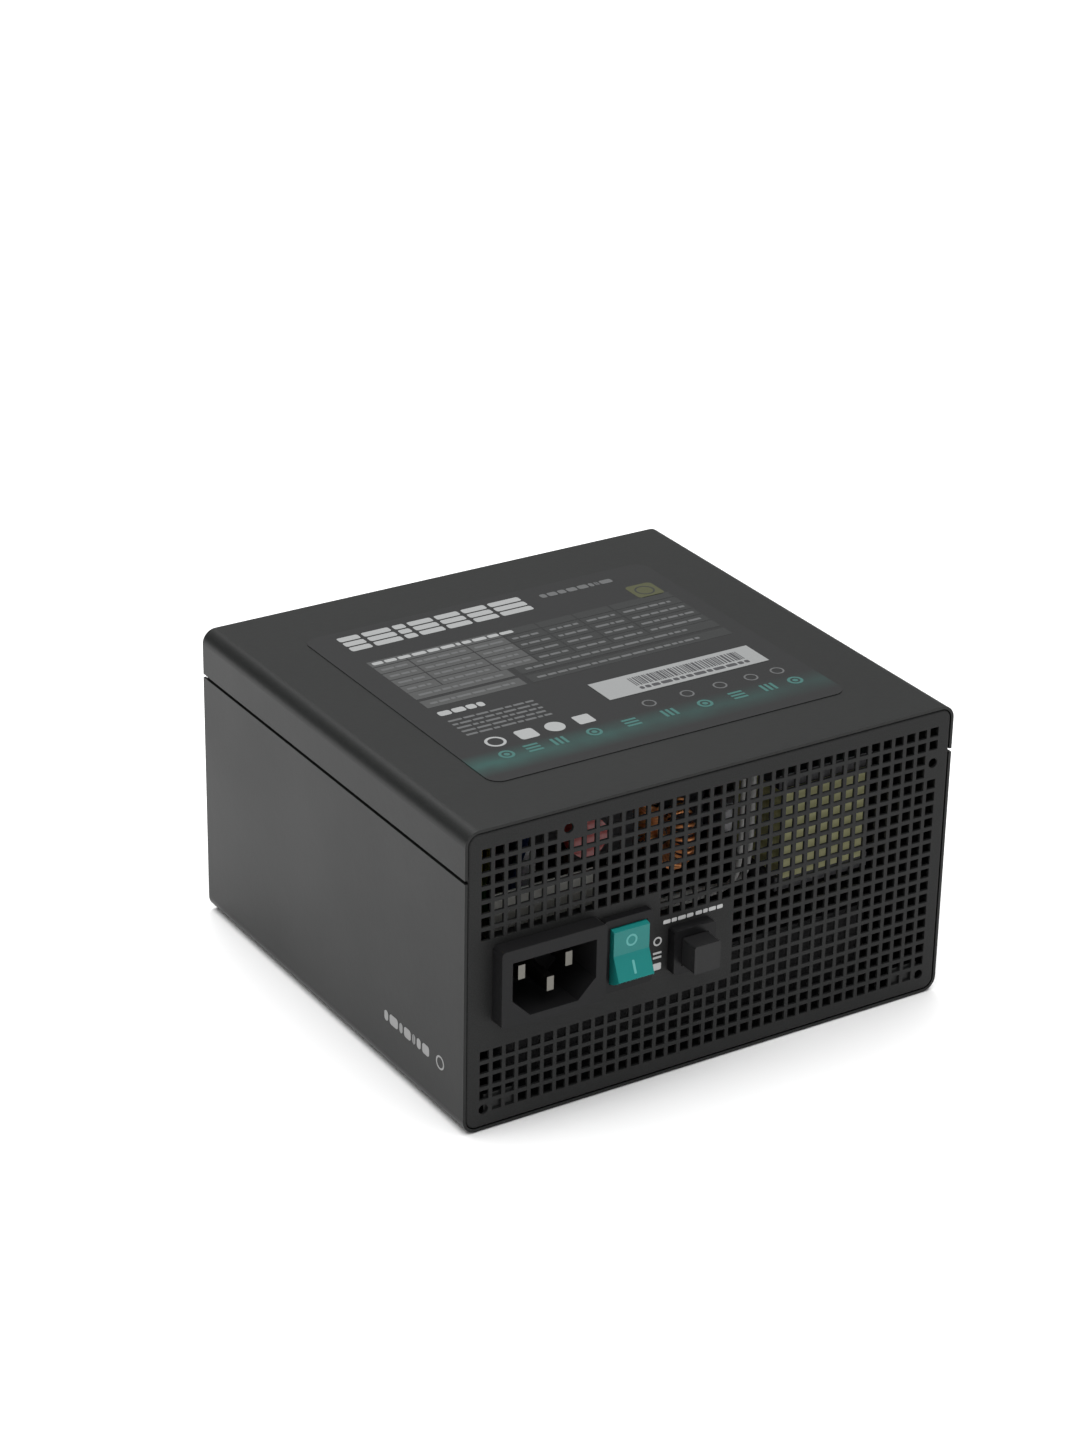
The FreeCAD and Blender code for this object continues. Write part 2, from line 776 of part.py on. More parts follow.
def fan_motor():
    stem = "%s - %s - 0.5" % (PLATE_LOW, HUB_BASE)
    node("rotor_shaft", rod("rotor_shaft", ["0", "0", HUB_BASE], "shaft_radius", stem))
    node("rotor_magnet", ring("rotor_magnet", ["0", "0", HUB_BASE + " + hub_wall + 1"],
                              "hub_radius - hub_wall", "hub_radius - hub_wall - magnet_thick",
                              "magnet_height"))
    low = HUB_BASE + " + hub_wall + 1"
    node("fan_bearing", ring("fan_bearing", ["0", "0", low], "bearing_radius",
                             "shaft_radius + shaft_fit", "%s - (%s)" % (PLATE_LOW, low)))
    core = ring("stator_core", ["0", "0", HUB_BASE + " + hub_wall + 3"], "stator_radius",
                "bearing_radius + bearing_wall", "stator_height")
    slots = [
        rod("stator_slot_%d" % number, [x, y, "0"], "stator_radius / 4", "fan_deep")
        for number, (x, y) in enumerate(
            [("stator_radius * 0.8", "0"), ("-stator_radius * 0.8", "0"),
             ("0", "stator_radius * 0.8"), ("0", "-stator_radius * 0.8")], start=1)
    ]
    node("fan_stator", without("fan_stator", core, slots))


# Mains inlet

INLET = ("-inlet_across", "inlet_height")
SOCKET_MIDDLE = "(inlet_height - socket_drop)"


def blade_places():
    """The three blades, as (name, across, up, recess)."""
    return [
        ("blade_live", "(-inlet_across - blade_spacing / 2)",
         SOCKET_MIDDLE + " + blade_offset", "blade_recess"),
        ("blade_neutral", "(-inlet_across + blade_spacing / 2)",
         SOCKET_MIDDLE + " + blade_offset", "blade_recess"),
        ("blade_earth", "(-inlet_across)", SOCKET_MIDDLE + " - blade_offset", "earth_recess"),
    ]


def draw_socket(sketch):
    """The outline of the inlet's socket, with both lower corners cut off."""
    left = "-inlet_across - socket_width / 2"
    right = "-inlet_across + socket_width / 2"
    low = SOCKET_MIDDLE + " - socket_tall / 2"
    high = SOCKET_MIDDLE + " + socket_tall / 2"
    draw_outline(sketch, [
        (left + " + socket_corner", low),
        (right + " - socket_corner", low),
        (right, low + " + socket_corner"),
        (right, high),
        (left, high),
        (left, low + " + socket_corner"),
    ])


def mains_inlet():
    housing = add("PartDesign::Body", "inlet_housing")
    rim = REAR + " - inlet_raise"
    pad(housing, "inlet_flange", "y", rim, "inlet_raise", draw_rectangle,
        *centred(*INLET, INLET_WIDTH, INLET_TALL))
    round_edges(housing, "inlet_corners", "1.2", parallel("y"))
    pad(housing, "inlet_body", "y", REAR, "inlet_body_deep", draw_rectangle,
        *centred(*INLET, INLET_BODY_WIDTH, INLET_BODY_TALL))
    pocket(housing, "inlet_socket", "y", rim, "socket_deep", draw_socket)
    blades = []
    for name, across, up, recess in blade_places():
        pocket(housing, name + "_slot", "y", REAR, "inlet_body_deep + 1", draw_rectangle,
               *centred(across, up, "blade_thick", "blade_tall"))
        start = "%s + %s" % (rim, recess)
        length = "inlet_raise - %s + inlet_body_deep + blade_tail" % recess
        blades.append(centred_block(name, across, start, up, ["blade_thick", length, "blade_tall"]))
    node("inlet_housing", housing)
    node("inlet_blades", together("inlet_blades", blades))


# Rocker switch

ROCKER = ("-rocker_across", "rocker_height")
PIVOT_Y = "(-case_depth / 2 - rocker_pivot_depth)"


def draw_rocker(sketch):
    """The side view about the pivot: two faces that meet in a shallow V, and a flat back."""
    reach = "(rocker_radius + 1)"
    front = "-rocker_rise - %s * tan(rocker_throw / 2)" % reach
    draw_outline(sketch, [
        ("-rocker_rise", "0"),
        (front, reach),
        ("rocker_back", reach),
        ("rocker_back", "-" + reach),
        (front, "-" + reach),
    ])


def rocker_switch():
    housing = add("PartDesign::Body", "rocker_shell")
    pad(housing, "rocker_bezel", "y", REAR + " - bezel_raise", "bezel_raise", draw_rectangle,
        *centred(*ROCKER, BEZEL_WIDTH, BEZEL_TALL))
    round_edges(housing, "rocker_corners", "1", parallel("y"))
    pad(housing, "rocker_body", "y", REAR, "rocker_body_deep", draw_rectangle,
        *centred(*ROCKER, ROCKER_BODY_WIDTH, ROCKER_BODY_TALL))
    hollow = centred(*ROCKER, ROCKER_HOLLOW_WIDTH, ROCKER_HOLLOW_TALL)
    pocket(housing, "rocker_hollow", "y", REAR + " - bezel_raise",
           "bezel_raise + rocker_body_deep - 2", draw_rectangle, *hollow)
    bore = rod("pivot_bore", ["-rocker_across - 10", PIVOT_Y, "rocker_height"],
               "pivot_pin_radius + pivot_fit", "20", "x")
    terminals = []
    slots = []
    for number, sign in enumerate(("-", "+"), start=1):
        up = "rocker_height %s terminal_spacing / 2" % sign
        start = REAR + " + rocker_body_deep - 2"
        sides = ["terminal_width", "terminal_tail + 2", "terminal_thick"]
        terminals.append(centred_block("terminal_%d" % number, ROCKER[0], start, up, sides))
        slots.append(centred_block("terminal_slot_%d" % number, ROCKER[0], start, up, sides))
    node("rocker_housing", without("rocker_housing", housing, [bore] + slots))
    node("rocker_terminals", together("rocker_terminals", terminals))

    profile = add("PartDesign::Body", "rocker_profile")
    pad(profile, "rocker_profile_pad", "x", "-rocker_width / 2", "rocker_width", draw_rocker)
    profile.Placement = Placement(Vector(), Rotation(UNIT["x"], 1))
    bind(profile, "Placement.Rotation.Angle", "-rocker_throw / 2")
    for axis, text in zip("xyz", (ROCKER[0], PIVOT_Y, ROCKER[1])):
        bind(profile, "Placement.Base." + axis, text)
    round_part = rod("rocker_round", ["-rocker_across - rocker_width / 2", PIVOT_Y, ROCKER[1]],
                     "rocker_radius", "rocker_width", "x")
    pin_reach = "(rocker_width / 2 + rocker_side_gap + 0.8)"
    pin = rod("rocker_pin", ["-rocker_across - " + pin_reach, PIVOT_Y, ROCKER[1]],
              "pivot_pin_radius", "2 * " + pin_reach, "x")
    node("rocker_button", joined("rocker_button", [common("rocker_shape", profile, round_part), pin]))


# Mode switch

MODE = ("-mode_across", "mode_height")
CAP_FRONT = "(-case_depth / 2 - mode_cap_raise)"
CAP_BACK = "(-case_depth / 2 + mode_cap_deep)"


def mode_switch():
    housing = add("PartDesign::Body", "mode_shell")
    pad(housing, "mode_bezel_pad", "y", REAR + " - mode_raise", "mode_raise", draw_rectangle,
        *centred(*MODE, MODE_BEZEL, MODE_BEZEL))
    round_edges(housing, "mode_corners", "0.8", parallel("y"))
    pad(housing, "mode_body_pad", "y", REAR, "mode_body_deep", draw_rectangle,
        *centred(*MODE, MODE_BODY, MODE_BODY))
    pocket(housing, "mode_bore", "y", REAR + " - mode_raise",
           "mode_raise + mode_body_deep - mode_floor", draw_rectangle,
           *centred(*MODE, "mode_cap + 2 * mode_cap_fit", "mode_cap + 2 * mode_cap_fit"))
    pins = []
    slots = []
    for number, sign in enumerate(("-", "+"), start=1):
        across = "-mode_across %s %s / 4" % (sign, MODE_BODY)
        start = REAR + " + mode_body_deep - mode_floor"
        sides = ["2", "mode_floor + mode_pin_tail", "0.6"]
        pins.append(centred_block("mode_pin_%d" % number, across, start, MODE[1], sides))
        slots.append(centred_block("mode_pin_slot_%d" % number, across, start, MODE[1], sides))
    node("mode_housing", without("mode_housing", housing, slots))
    node("mode_pins", together("mode_pins", pins))

    cap = rounded_prism("mode_cap_body", "y", CAP_FRONT, "mode_cap_raise + mode_cap_deep",
                        centred(*MODE, "mode_cap", "mode_cap"), "0.6")
    stem = rod("mode_stem", [MODE[0], CAP_BACK, MODE[1]], "mode_stem_radius",
               "mode_body_deep - mode_floor - mode_cap_deep - mode_stroke - 0.2", "y")
    node("mode_button", joined("mode_button", [cap, stem]))

    length = size("mode_body_deep") - size("mode_floor") - size("mode_cap_deep")
    wire = size("spring_wire")
    pitch = (length - 2 * wire) / size("spring_turns")
    path = Part.makeHelix(pitch, length - 2 * wire, size("spring_radius"))
    profile = Part.makeCircle(wire, Vector(size("spring_radius"), 0, 0), Vector(0, 1, 0))
    coil = Part.Wire(path).makePipeShell([Part.Wire(profile)], True, True)
    spring = add("Part::Feature", "mode_spring")
    spring.Shape = coil
    spring.Placement = Placement(Vector(), TURN["y"])
    for axis, text in zip("xyz", (MODE[0], CAP_BACK + " + spring_wire", MODE[1])):
        bind(spring, "Placement.Base." + axis, text)
    node("mode_spring", spring)


# Output sockets

SOCKET_ROWS = {
    "upper_sockets": [("socket_18pin", 9), ("socket_10pin", 5), ("socket_8pin_1", 4),
                      ("socket_8pin_2", 4)],
    "lower_sockets": [("socket_8pin_3", 4), ("socket_6pin_1", 3), ("socket_6pin_2", 3)],
}


def socket_width(columns):
    return "(%d * pin_pitch + 2 * socket_shell)" % columns


def socket_places():
    """Each output socket's name, place across, row and columns, side by side from the left."""
    for row, sockets in SOCKET_ROWS.items():
        edge = "-row_start"
        for name, columns in sockets:
            width = socket_width(columns)
            yield name, "%s + %s / 2" % (edge, width), row, columns
            edge = "%s + %s + row_gap" % (edge, width)


def cell_places(across, row, columns):
    for column in range(columns):
        for sign in ("-", "+"):
            offset = column - (columns - 1) / 2
            yield "(%s) + %s * pin_pitch" % (across, offset), "%s %s pin_pitch / 2" % (row, sign)


def draw_cells(sketch, across, row, columns, side):
    for x, z in cell_places(across, row, columns):
        draw_rectangle(sketch, *centred(x, z, side, side))


def output_sockets():
    pins = []
    small = []
    start = FRONT + " - socket_length"
    for name, across, row, columns in socket_places():
        body = add("PartDesign::Body", name)
        pad(body, name + "_block", "y", start, "socket_length", draw_rectangle,
            *centred("(%s)" % across, row, socket_width(columns), "2 * pin_pitch + 2 * socket_shell"))
        pocket(body, name + "_cells", "y", start + " + socket_floor", "socket_length",
               draw_cells, across, row, columns, "cell_side")
        pocket(body, name + "_pin_holes", "y", start, "socket_length",
               draw_cells, across, row, columns, "pin_side")
        if columns > 3:
            node(name, body)
        else:
            small.append(body)
        for number, (x, z) in enumerate(cell_places(across, row, columns)):
            pins.append(centred_block("%s_pin_%d" % (name, number), x, start, z,
                                      ["pin_side", "socket_length - 3", "pin_side"]))
    node("sockets_6pin", together("sockets_6pin", small))
    node("socket_pins", together("socket_pins", pins))


# Main board and what hangs from it

BOARD_TOP = "(case_height - sheet - board_drop)"
BOARD_LOW = "(case_height - sheet - board_drop - board_thick)"
BOARD_WIDTH = "(case_width - 2 * board_side_gap)"
BOARD_DEPTH = "(case_depth - board_rear_gap - board_front_gap)"
BOARD_MIDDLE = "(board_rear_gap / 2 - board_front_gap / 2)"
MODULAR_LOW = "(2 * sheet + fan_deep + modular_low_gap)"


def hung_block(name, across, forward, width, deep, tall, drop=0):
    """A box under the board, centred on X and Y, whose top is the given drop below the board."""
    corner = ["%s - %s / 2" % (across, width), "%s - %s / 2" % (forward, deep),
              "%s - %s - %s" % (BOARD_LOW, drop, tall)]
    return block(name, corner, [str(width), str(deep), str(tall)])


def hung_rod(name, across, forward, radius, tall, drop=0):
    return rod(name, [str(across), str(forward), "%s - %s - %s" % (BOARD_LOW, drop, tall)],
               str(radius), str(tall))


def boards():
    side = "(%s / 2 - standoff_edge)" % BOARD_WIDTH
    reach = "(%s / 2 - standoff_end)" % BOARD_DEPTH
    corners = [(sign_x + side, "%s %s %s" % (BOARD_MIDDLE, sign_y, reach))
               for sign_x in ("-", "") for sign_y in ("-", "+")]
    blank = rounded_prism("board_blank", "z", BOARD_LOW, "board_thick",
                          centred("0", BOARD_MIDDLE, BOARD_WIDTH, BOARD_DEPTH), "2")
    holes = [rod("board_hole_%d" % number, [x, y, BOARD_LOW + " - 1"], "1.7", "board_thick + 2")
             for number, (x, y) in enumerate(corners, start=1)]
    node("main_board", without("main_board", blank, holes))
    standoffs = []
    screws = []
    for number, (x, y) in enumerate(corners, start=1):
        standoffs.append(ring("standoff_%d" % number, [x, y, BOARD_TOP], "standoff_radius", "1.5",
                              "board_drop"))
        head = rod("board_head_%d" % number, [x, y, BOARD_LOW + " - 1.8"], "2.8", "1.8")
        stem = rod("board_stem_%d" % number, [x, y, BOARD_LOW + " - 1"], "1.5",
                   "board_thick + board_drop")
        screws.append(joined("board_screw_%d" % number, [head, stem]))
    node("board_standoffs", together("board_standoffs", standoffs))
    node("board_screws", together("board_screws", screws))
    film = prism("film_blank", "z", "case_height - sheet - insulator_thick", "insulator_thick",
                 centred("0", BOARD_MIDDLE, BOARD_WIDTH + " - 4", BOARD_DEPTH + " - 4"))
    film_holes = [rod("film_hole_%d" % number, [x, y, BOARD_TOP], "standoff_radius + fit",
                      "board_drop + 1") for number, (x, y) in enumerate(corners, start=1)]
    board_film = without("board_film", film, film_holes)
    shield = block("inlet_shield", [INLET[0] + " - shield_side", REAR + " + shield_rear_gap",
                                    "inlet_height + %s / 2" % INLET_BODY_TALL],
                   ["shield_width", "insulator_thick", "shield_tall"])
    node("insulating_sheet", together("insulating_sheet", [board_film, shield]))
    modular = block("modular_board", [LEFT + " + modular_side_gap",
                                      FRONT + " - socket_length - board_thick", MODULAR_LOW],
                    ["case_width - 2 * modular_side_gap", "board_thick",
                     "%s - modular_top_gap - %s" % (BOARD_LOW, MODULAR_LOW)])
    node("modular_board", modular)
    bars = [block("busbar_%d" % number, [str(x), FRONT + " - socket_length - board_thick - 3",
                                         "%s - 12" % BOARD_LOW], ["12", "2.9", "12"])
            for number, x in enumerate((-44, -16, 12, 40), start=1)]
    node("busbars", together("busbars", bars))


def filter_parts():
    """The mains filter near the inlet."""
    node("x_capacitor", hung_block("x_capacitor", -62, -34, 13, 24, 22))
    disc = rod("varistor_disc", ["-33", "-61", BOARD_LOW + " - 7.5"], "5.5", "4", "y")
    legs = [hung_block("varistor_leg_%d" % number, x, -59, 0.8, 0.8, 3)
            for number, x in enumerate((-35.5, -30.5), start=1)]
    node("surge_varistor", joined("surge_varistor", [disc] + legs))
    fuse = rod("fuse_tube", ["-24", "-40", BOARD_LOW + " - 5"], "2.6", "20", "x")
    caps = [rod("fuse_cap_%d" % number, [x, "-40", BOARD_LOW + " - 5"], "3", "5", "x")
            for number, x in enumerate(("-25", "-8"), start=1)]
    clips = [hung_block("fuse_clip_%d" % number, x, -40, 3, 4, 3)
             for number, x in enumerate((-22.5, -5.5), start=1)]
    node("line_fuse", joined("line_fuse", [fuse] + caps + clips))
    middle = ["-6", "%s + choke_rear_gap" % REAR, "%s - choke_drop" % BOARD_LOW]
    core = add("Part::Torus", "choke_core")
    bind(core, "Radius1", "choke_ring_radius")
    bind(core, "Radius2", "choke_core_radius")
    place(core, middle, "x")
    rings = []
    length = size("choke_turn_length")
    for number in range(10):
        spare = 35 if number > 4 else 0
        turn = Rotation(UNIT["x"], -58 + number * 29 + spare)
        outer = add("Part::Cylinder", "choke_turn_%d" % number)
        bind(outer, "Radius", "choke_turn_radius")
        inner = add("Part::Cylinder", "choke_turn_core_%d" % number)
        bind(inner, "Radius", "choke_core_radius + choke_turn_gap")
        for tube, long in ((outer, length), (inner, length + 1)):
            bind(tube, "Height", str(long))
            offset = turn.multVec(Vector(0, size("choke_ring_radius"), -long / 2))
            tube.Placement = Placement(offset, turn)
            for axis, text in zip("xyz", middle):
                bind(tube, "Placement.Base." + axis,
                     "%s + (%.4f)" % (text, getattr(offset, axis)))
        rings.append(without("choke_band_%d" % number, outer, [inner]))
    node("choke_core", core)
    node("choke_windings", together("choke_windings", rings))


def primary_parts():
    """Rectifier, power factor choke, bulk capacitors, primary switches and their heatsink."""
    node("bridge_rectifier", hung_block("bridge_rectifier", -20, -30.9, 26, 4, 20, 3))
    choke_low = hung_block("pfc_core_low", 40, -52, 30, 20, 4, 34)
    choke_high = hung_block("pfc_core_high", 40, -52, 30, 20, 4, 4)
    limb = hung_rod("pfc_core_limb", 40, -52, 6, 27, 7.5)
    node("pfc_choke_core", joined("pfc_choke_core", [choke_low, choke_high, limb]))
    winding = hung_block("pfc_winding_block", 40, -52, 27, 22, 26, 8)
    limb_hole = hung_rod("pfc_limb_hole", 40, -52, 6.05, 30, 6)
    node("pfc_choke_winding", without("pfc_choke_winding", winding, [limb_hole]))
    cans = [hung_rod("bulk_can_%d" % number, -50, y, 15, 44)
            for number, y in enumerate((-6, 26), start=1)]
    node("bulk_capacitors", together("bulk_capacitors", cans))
    plate = hung_block("primary_plate", -28, 12, 3, 72, 40, 1)
    fins = [hung_block("primary_fin_%d" % number, -25.5, -20 + 6 * number, 4, 1.6, 36, 3)
            for number in range(11)]
    node("primary_heatsink", joined("primary_heatsink", [plate] + fins))
    switches = [hung_block("primary_switch_%d" % number, -31.8, y, 4.6, 10, 16, 8)
                for number, y in enumerate((-18, 10, 42), start=1)]
    node("primary_transistors", together("primary_transistors", switches))


def secondary_parts():
    """Transformers, secondary heatsink, converter board and output capacitors."""
    yokes = [hung_block("transformer_yoke_%d" % number, 6, y, 42, 7, 34, 3)
             for number, y in enumerate((-22, 18), start=1)]
    limb = rod("transformer_limb", ["6", "-19", BOARD_LOW + " - 20"], "6.5", "34", "y")
    node("transformer_core", joined("transformer_core", yokes + [limb]))
    tape = rod("transformer_tape", ["6", "-18.4", BOARD_LOW + " - 20"], "15", "32.8", "y")
    tape_hole = rod("transformer_tape_hole", ["6", "-20", BOARD_LOW + " - 20"], "6.55", "36", "y")
    node("transformer_winding", without("transformer_winding", tape, [tape_hole]))
    node("standby_transformer", hung_block("standby_transformer", -9, 40, 20, 18, 20))
    plate = hung_block("secondary_plate", 34, -2, 3, 52, 38, 1)
    fins = [hung_block("secondary_fin_%d" % number, 36.8, -24 + 6 * number, 4.4, 1.6, 34, 3)
            for number in range(8)]
    node("secondary_heatsink", joined("secondary_heatsink", [plate] + fins))
    board = hung_block("converter_sheet", 34, 42, 52, 1.6, 34)
    coils = [hung_block("converter_coil_%d" % number, x, 37.2, 12, 8, 12, 8)
             for number, x in enumerate((20, 36, 52), start=1)]
    node("dc_dc_board", joined("dc_dc_board", [board] + coils))
    cans = [hung_rod("output_can_%d" % number, 48 + 10.5 * (number % 2), -26 + 10.5 * (number // 2),
                     5, 22) for number in range(10)]
    node("output_capacitors", together("output_capacitors", cans))


# Internal wires

def rounded_route(points):
    """Straight runs joined by tangent arcs, as large as the two runs allow."""
    edges = []
    start = points[0]
    for before, corner, after in zip(points, points[1:], points[2:]):
        back = (before - corner).normalize()
        ahead = (after - corner).normalize()
        half_turn = (math.pi - back.getAngle(ahead)) / 2
        reach = 0.45 * min((before - corner).Length, (after - corner).Length)
        radius = reach / math.tan(half_turn)
        bisector = (back + ahead).normalize()
        middle = corner + bisector * (radius / math.cos(half_turn) - radius)
        first = corner + back * reach
        last = corner + ahead * reach
        edges.append(Part.LineSegment(start, first).toShape())
        edges.append(Part.Arc(first, middle, last).toShape())
        start = last
    edges.append(Part.LineSegment(start, points[-1]).toShape())
    return Part.Wire(edges)


def wire(name, radius, corners):
    """A wire of the given radius along a rounded route, which prints its length."""
    points = [Vector(*corner) for corner in corners]
    path = rounded_route(points)
    profile = Part.makeCircle(radius, points[0], points[1] - points[0])
    solid = add("Part::Feature", name)
    solid.Shape = path.makePipeShell([Part.Wire(profile)], True, False)
    print("%s is %.0f mm long" % (name, path.Length))
    return solid


def wires():
    blade_end = -size("case_depth") / 2 + size("inlet_body_deep") + size("blade_tail")
    terminal_end = -size("case_depth") / 2 + size("rocker_body_deep") + size("terminal_tail")
    board_low = size("case_height") - size("sheet") - size("board_drop") - size("board_thick")
    live_x = -size("inlet_across") - size("blade_spacing") / 2
    neutral_x = -size("inlet_across") + size("blade_spacing") / 2
    blade_z = size("inlet_height") - size("socket_drop") + size("blade_offset")
    earth_z = blade_z - 2 * size("blade_offset")
    rocker_x = -size("rocker_across")
    terminal_z = size("rocker_height") + size("terminal_spacing") / 2
    radius = size("mains_wire_radius")
    node("neutral_wire", wire("neutral_wire", radius, [
        (neutral_x, blade_end, blade_z),
        (neutral_x, blade_end + 5, blade_z),
        (neutral_x + 1, blade_end + 9, blade_z + 9),
        (neutral_x + 2, blade_end + 3, blade_z + 21),
        (neutral_x + 2, blade_end + 3, board_low),
    ]))
    node("live_wire", wire("live_wire", radius, [
        (live_x, blade_end, blade_z),
        (live_x, blade_end + 5, blade_z),
        (live_x + 7, blade_end + 9, blade_z - 10),
        (live_x + 20, blade_end + 10, blade_z - 13),
        (rocker_x - 4, terminal_end + 8, terminal_z - 16),
        (rocker_x, terminal_end + 5, terminal_z - 10),
        (rocker_x, terminal_end, terminal_z - 10),
    ]))
    node("switched_wire", wire("switched_wire", radius, [
        (rocker_x, terminal_end, terminal_z),
        (rocker_x, terminal_end + 5, terminal_z),
        (rocker_x + 1, terminal_end + 7, terminal_z + 9),
        (rocker_x + 2, terminal_end + 3, terminal_z + 20),
        (rocker_x + 2, terminal_end + 3, board_low),
    ]))
    node("earth_wire", wire("earth_wire", radius, [
        (-size("inlet_across"), blade_end, earth_z),
        (-size("inlet_across"), blade_end + 6, earth_z),
        (-size("inlet_across") - 1, blade_end + 9, earth_z + 12),
        (-size("inlet_across") - 1, blade_end + 3, earth_z + 25),
        (-size("inlet_across") - 1, blade_end + 3, board_low),
    ]))


def signal_leads():
    """The fan's lead and the mode switch's two wires, which end at the main board."""
    side = size("fan_side") / 2
    top = 2 * size("sheet") + size("fan_deep")
    board_low = size("case_height") - size("sheet") - size("board_drop") - size("board_thick")
    radius = size("signal_wire_radius")
    leads = [wire("fan_lead", radius, [
        (side, 24, top - 5),
        (side + 5, 24, top - 5),
        (side + 6, 26, top + 8),
        (side + 6, 28, top + 26),
        (side + 6, 28, board_low),
    ])]
    rear = -size("case_depth") / 2
    pin_end = rear + size("mode_body_deep") + size("mode_pin_tail")
    body = size("mode_cap") + 2 * size("mode_cap_fit") + 2 * size("mode_wall")
    height = size("mode_height")
    for number, (sign, back, across) in enumerate(((1, 4, 22), (-1, 8, 25)), start=1):
        pin_x = -size("mode_across") + sign * body / 4
        end_x = -size("mode_across") + across
        leads.append(wire("mode_wire_%d" % number, radius, [
            (pin_x, pin_end, height),
            (pin_x, pin_end + back, height),
            (end_x - 9, pin_end + back, height + 1),
            (end_x, rear + 11, height + 6),
            (end_x, rear + 9, height + 19),
            (end_x, rear + 9, board_low),
        ]))
    node("signal_leads", together("signal_leads", leads))


def check():
    """Stop if any object failed, or any sub-part has no valid shape."""
    document.recompute()
    for item in document.Objects:
        if "Invalid" in item.State or "Error" in item.State:
            raise RuntimeError("%s failed: %s" % (item.Name, item.State))
    for solid in nodes:
        shape = solid.Shape
        if shape.isNull() or not shape.isValid() or not shape.Solids:
            raise RuntimeError("%s has no valid shape" % solid.Label)


label_sleeve = case_sleeve()
label_panel(label_sleeve)
fan_cover(label_sleeve)
rear_panel()
front_panel()
corner_brackets()
flat_screws("cover_screws", COVER_CORNERS, "6")
labels()
fan_grille()
fan_frame()
fan_rotor()
fan_motor()
flat_screws("fan_screws", FAN_CORNERS, "screw_length")
mains_inlet()
rocker_switch()
mode_switch()
output_sockets()
boards()
filter_parts()
primary_parts()
secondary_parts()
wires()
signal_leads()
check()

os.makedirs("parts", exist_ok=True)
for solid in nodes:
    solid.Shape.exportStep("parts/%s.step" % solid.Label)
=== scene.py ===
import json
import math
import random

import bmesh
import bpy
from mathutils import Matrix, Vector


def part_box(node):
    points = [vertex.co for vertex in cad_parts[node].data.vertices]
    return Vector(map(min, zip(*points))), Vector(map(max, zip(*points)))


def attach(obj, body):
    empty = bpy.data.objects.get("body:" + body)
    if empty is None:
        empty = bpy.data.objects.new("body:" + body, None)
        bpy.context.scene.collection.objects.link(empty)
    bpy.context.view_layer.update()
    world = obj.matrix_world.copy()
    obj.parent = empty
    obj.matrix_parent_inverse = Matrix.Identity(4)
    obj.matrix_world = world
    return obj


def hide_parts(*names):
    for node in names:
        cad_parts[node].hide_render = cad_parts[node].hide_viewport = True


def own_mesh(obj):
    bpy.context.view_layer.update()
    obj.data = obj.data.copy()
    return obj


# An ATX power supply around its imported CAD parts. Everything is in metres in the CAD frame:
# -Y is the rear face with the inlet, +Z the labelled side. Print is given in millimetres.

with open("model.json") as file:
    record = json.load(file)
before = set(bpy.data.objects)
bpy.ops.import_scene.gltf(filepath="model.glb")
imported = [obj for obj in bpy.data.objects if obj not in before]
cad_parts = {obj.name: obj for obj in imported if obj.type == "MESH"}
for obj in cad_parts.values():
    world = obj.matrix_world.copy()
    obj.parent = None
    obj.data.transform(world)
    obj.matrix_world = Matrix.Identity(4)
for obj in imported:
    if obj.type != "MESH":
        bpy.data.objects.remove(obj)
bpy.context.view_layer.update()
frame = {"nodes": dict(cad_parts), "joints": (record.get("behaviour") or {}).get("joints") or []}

MM = 0.001


def box_of(node):
    """The lowest and highest corner of a CAD node."""
    low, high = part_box(node)
    return Vector(low), Vector(high)


def joint_named(name):
    """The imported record's joint of that name."""
    return [item for item in frame["joints"] if item["name"] == name][0]


case_low = box_of("fan_cover")[0]
label_low, label_high = box_of("rating_label")
sticker_low, sticker_high = box_of("serial_label")
LABEL_TOP = label_high.z
REAR = case_low.y
LEFT = case_low.x


# Materials

def new_material(name):
    material = bpy.data.materials.new(name)
    material.use_nodes = True
    tree = material.node_tree
    return material, tree, tree.nodes["Principled BSDF"]


def add_node(tree, kind, **inputs):
    """A shader node, with its input sockets set by name."""
    node = tree.nodes.new(kind)
    for socket, value in inputs.items():
        node.inputs[socket].default_value = value
    return node


def coordinates(tree):
    return tree.nodes.new("ShaderNodeTexCoord").outputs["Object"]


def noise(tree, scale, detail=3.0, roughness=0.5):
    texture = add_node(tree, "ShaderNodeTexNoise", Scale=scale, Detail=detail, Roughness=roughness)
    tree.links.new(coordinates(tree), texture.inputs["Vector"])
    return texture.outputs["Fac"]


def remap(tree, value, low, high, new_low, new_high):
    node = tree.nodes.new("ShaderNodeMapRange")
    tree.links.new(value, node.inputs["Value"])
    for socket, number in zip(("From Min", "From Max", "To Min", "To Max"),
                              (low, high, new_low, new_high)):
        node.inputs[socket].default_value = number
    return node.outputs["Result"]


def math_node(tree, operation, first, second):
    node = tree.nodes.new("ShaderNodeMath")
    node.operation = operation
    for socket, value in zip(node.inputs, (first, second)):
        if isinstance(value, (int, float)):
            socket.default_value = value
        else:
            tree.links.new(value, socket)
    return node.outputs["Value"]


def colour_sockets(sockets):
    return [item for item in sockets if item.type == "RGBA"]


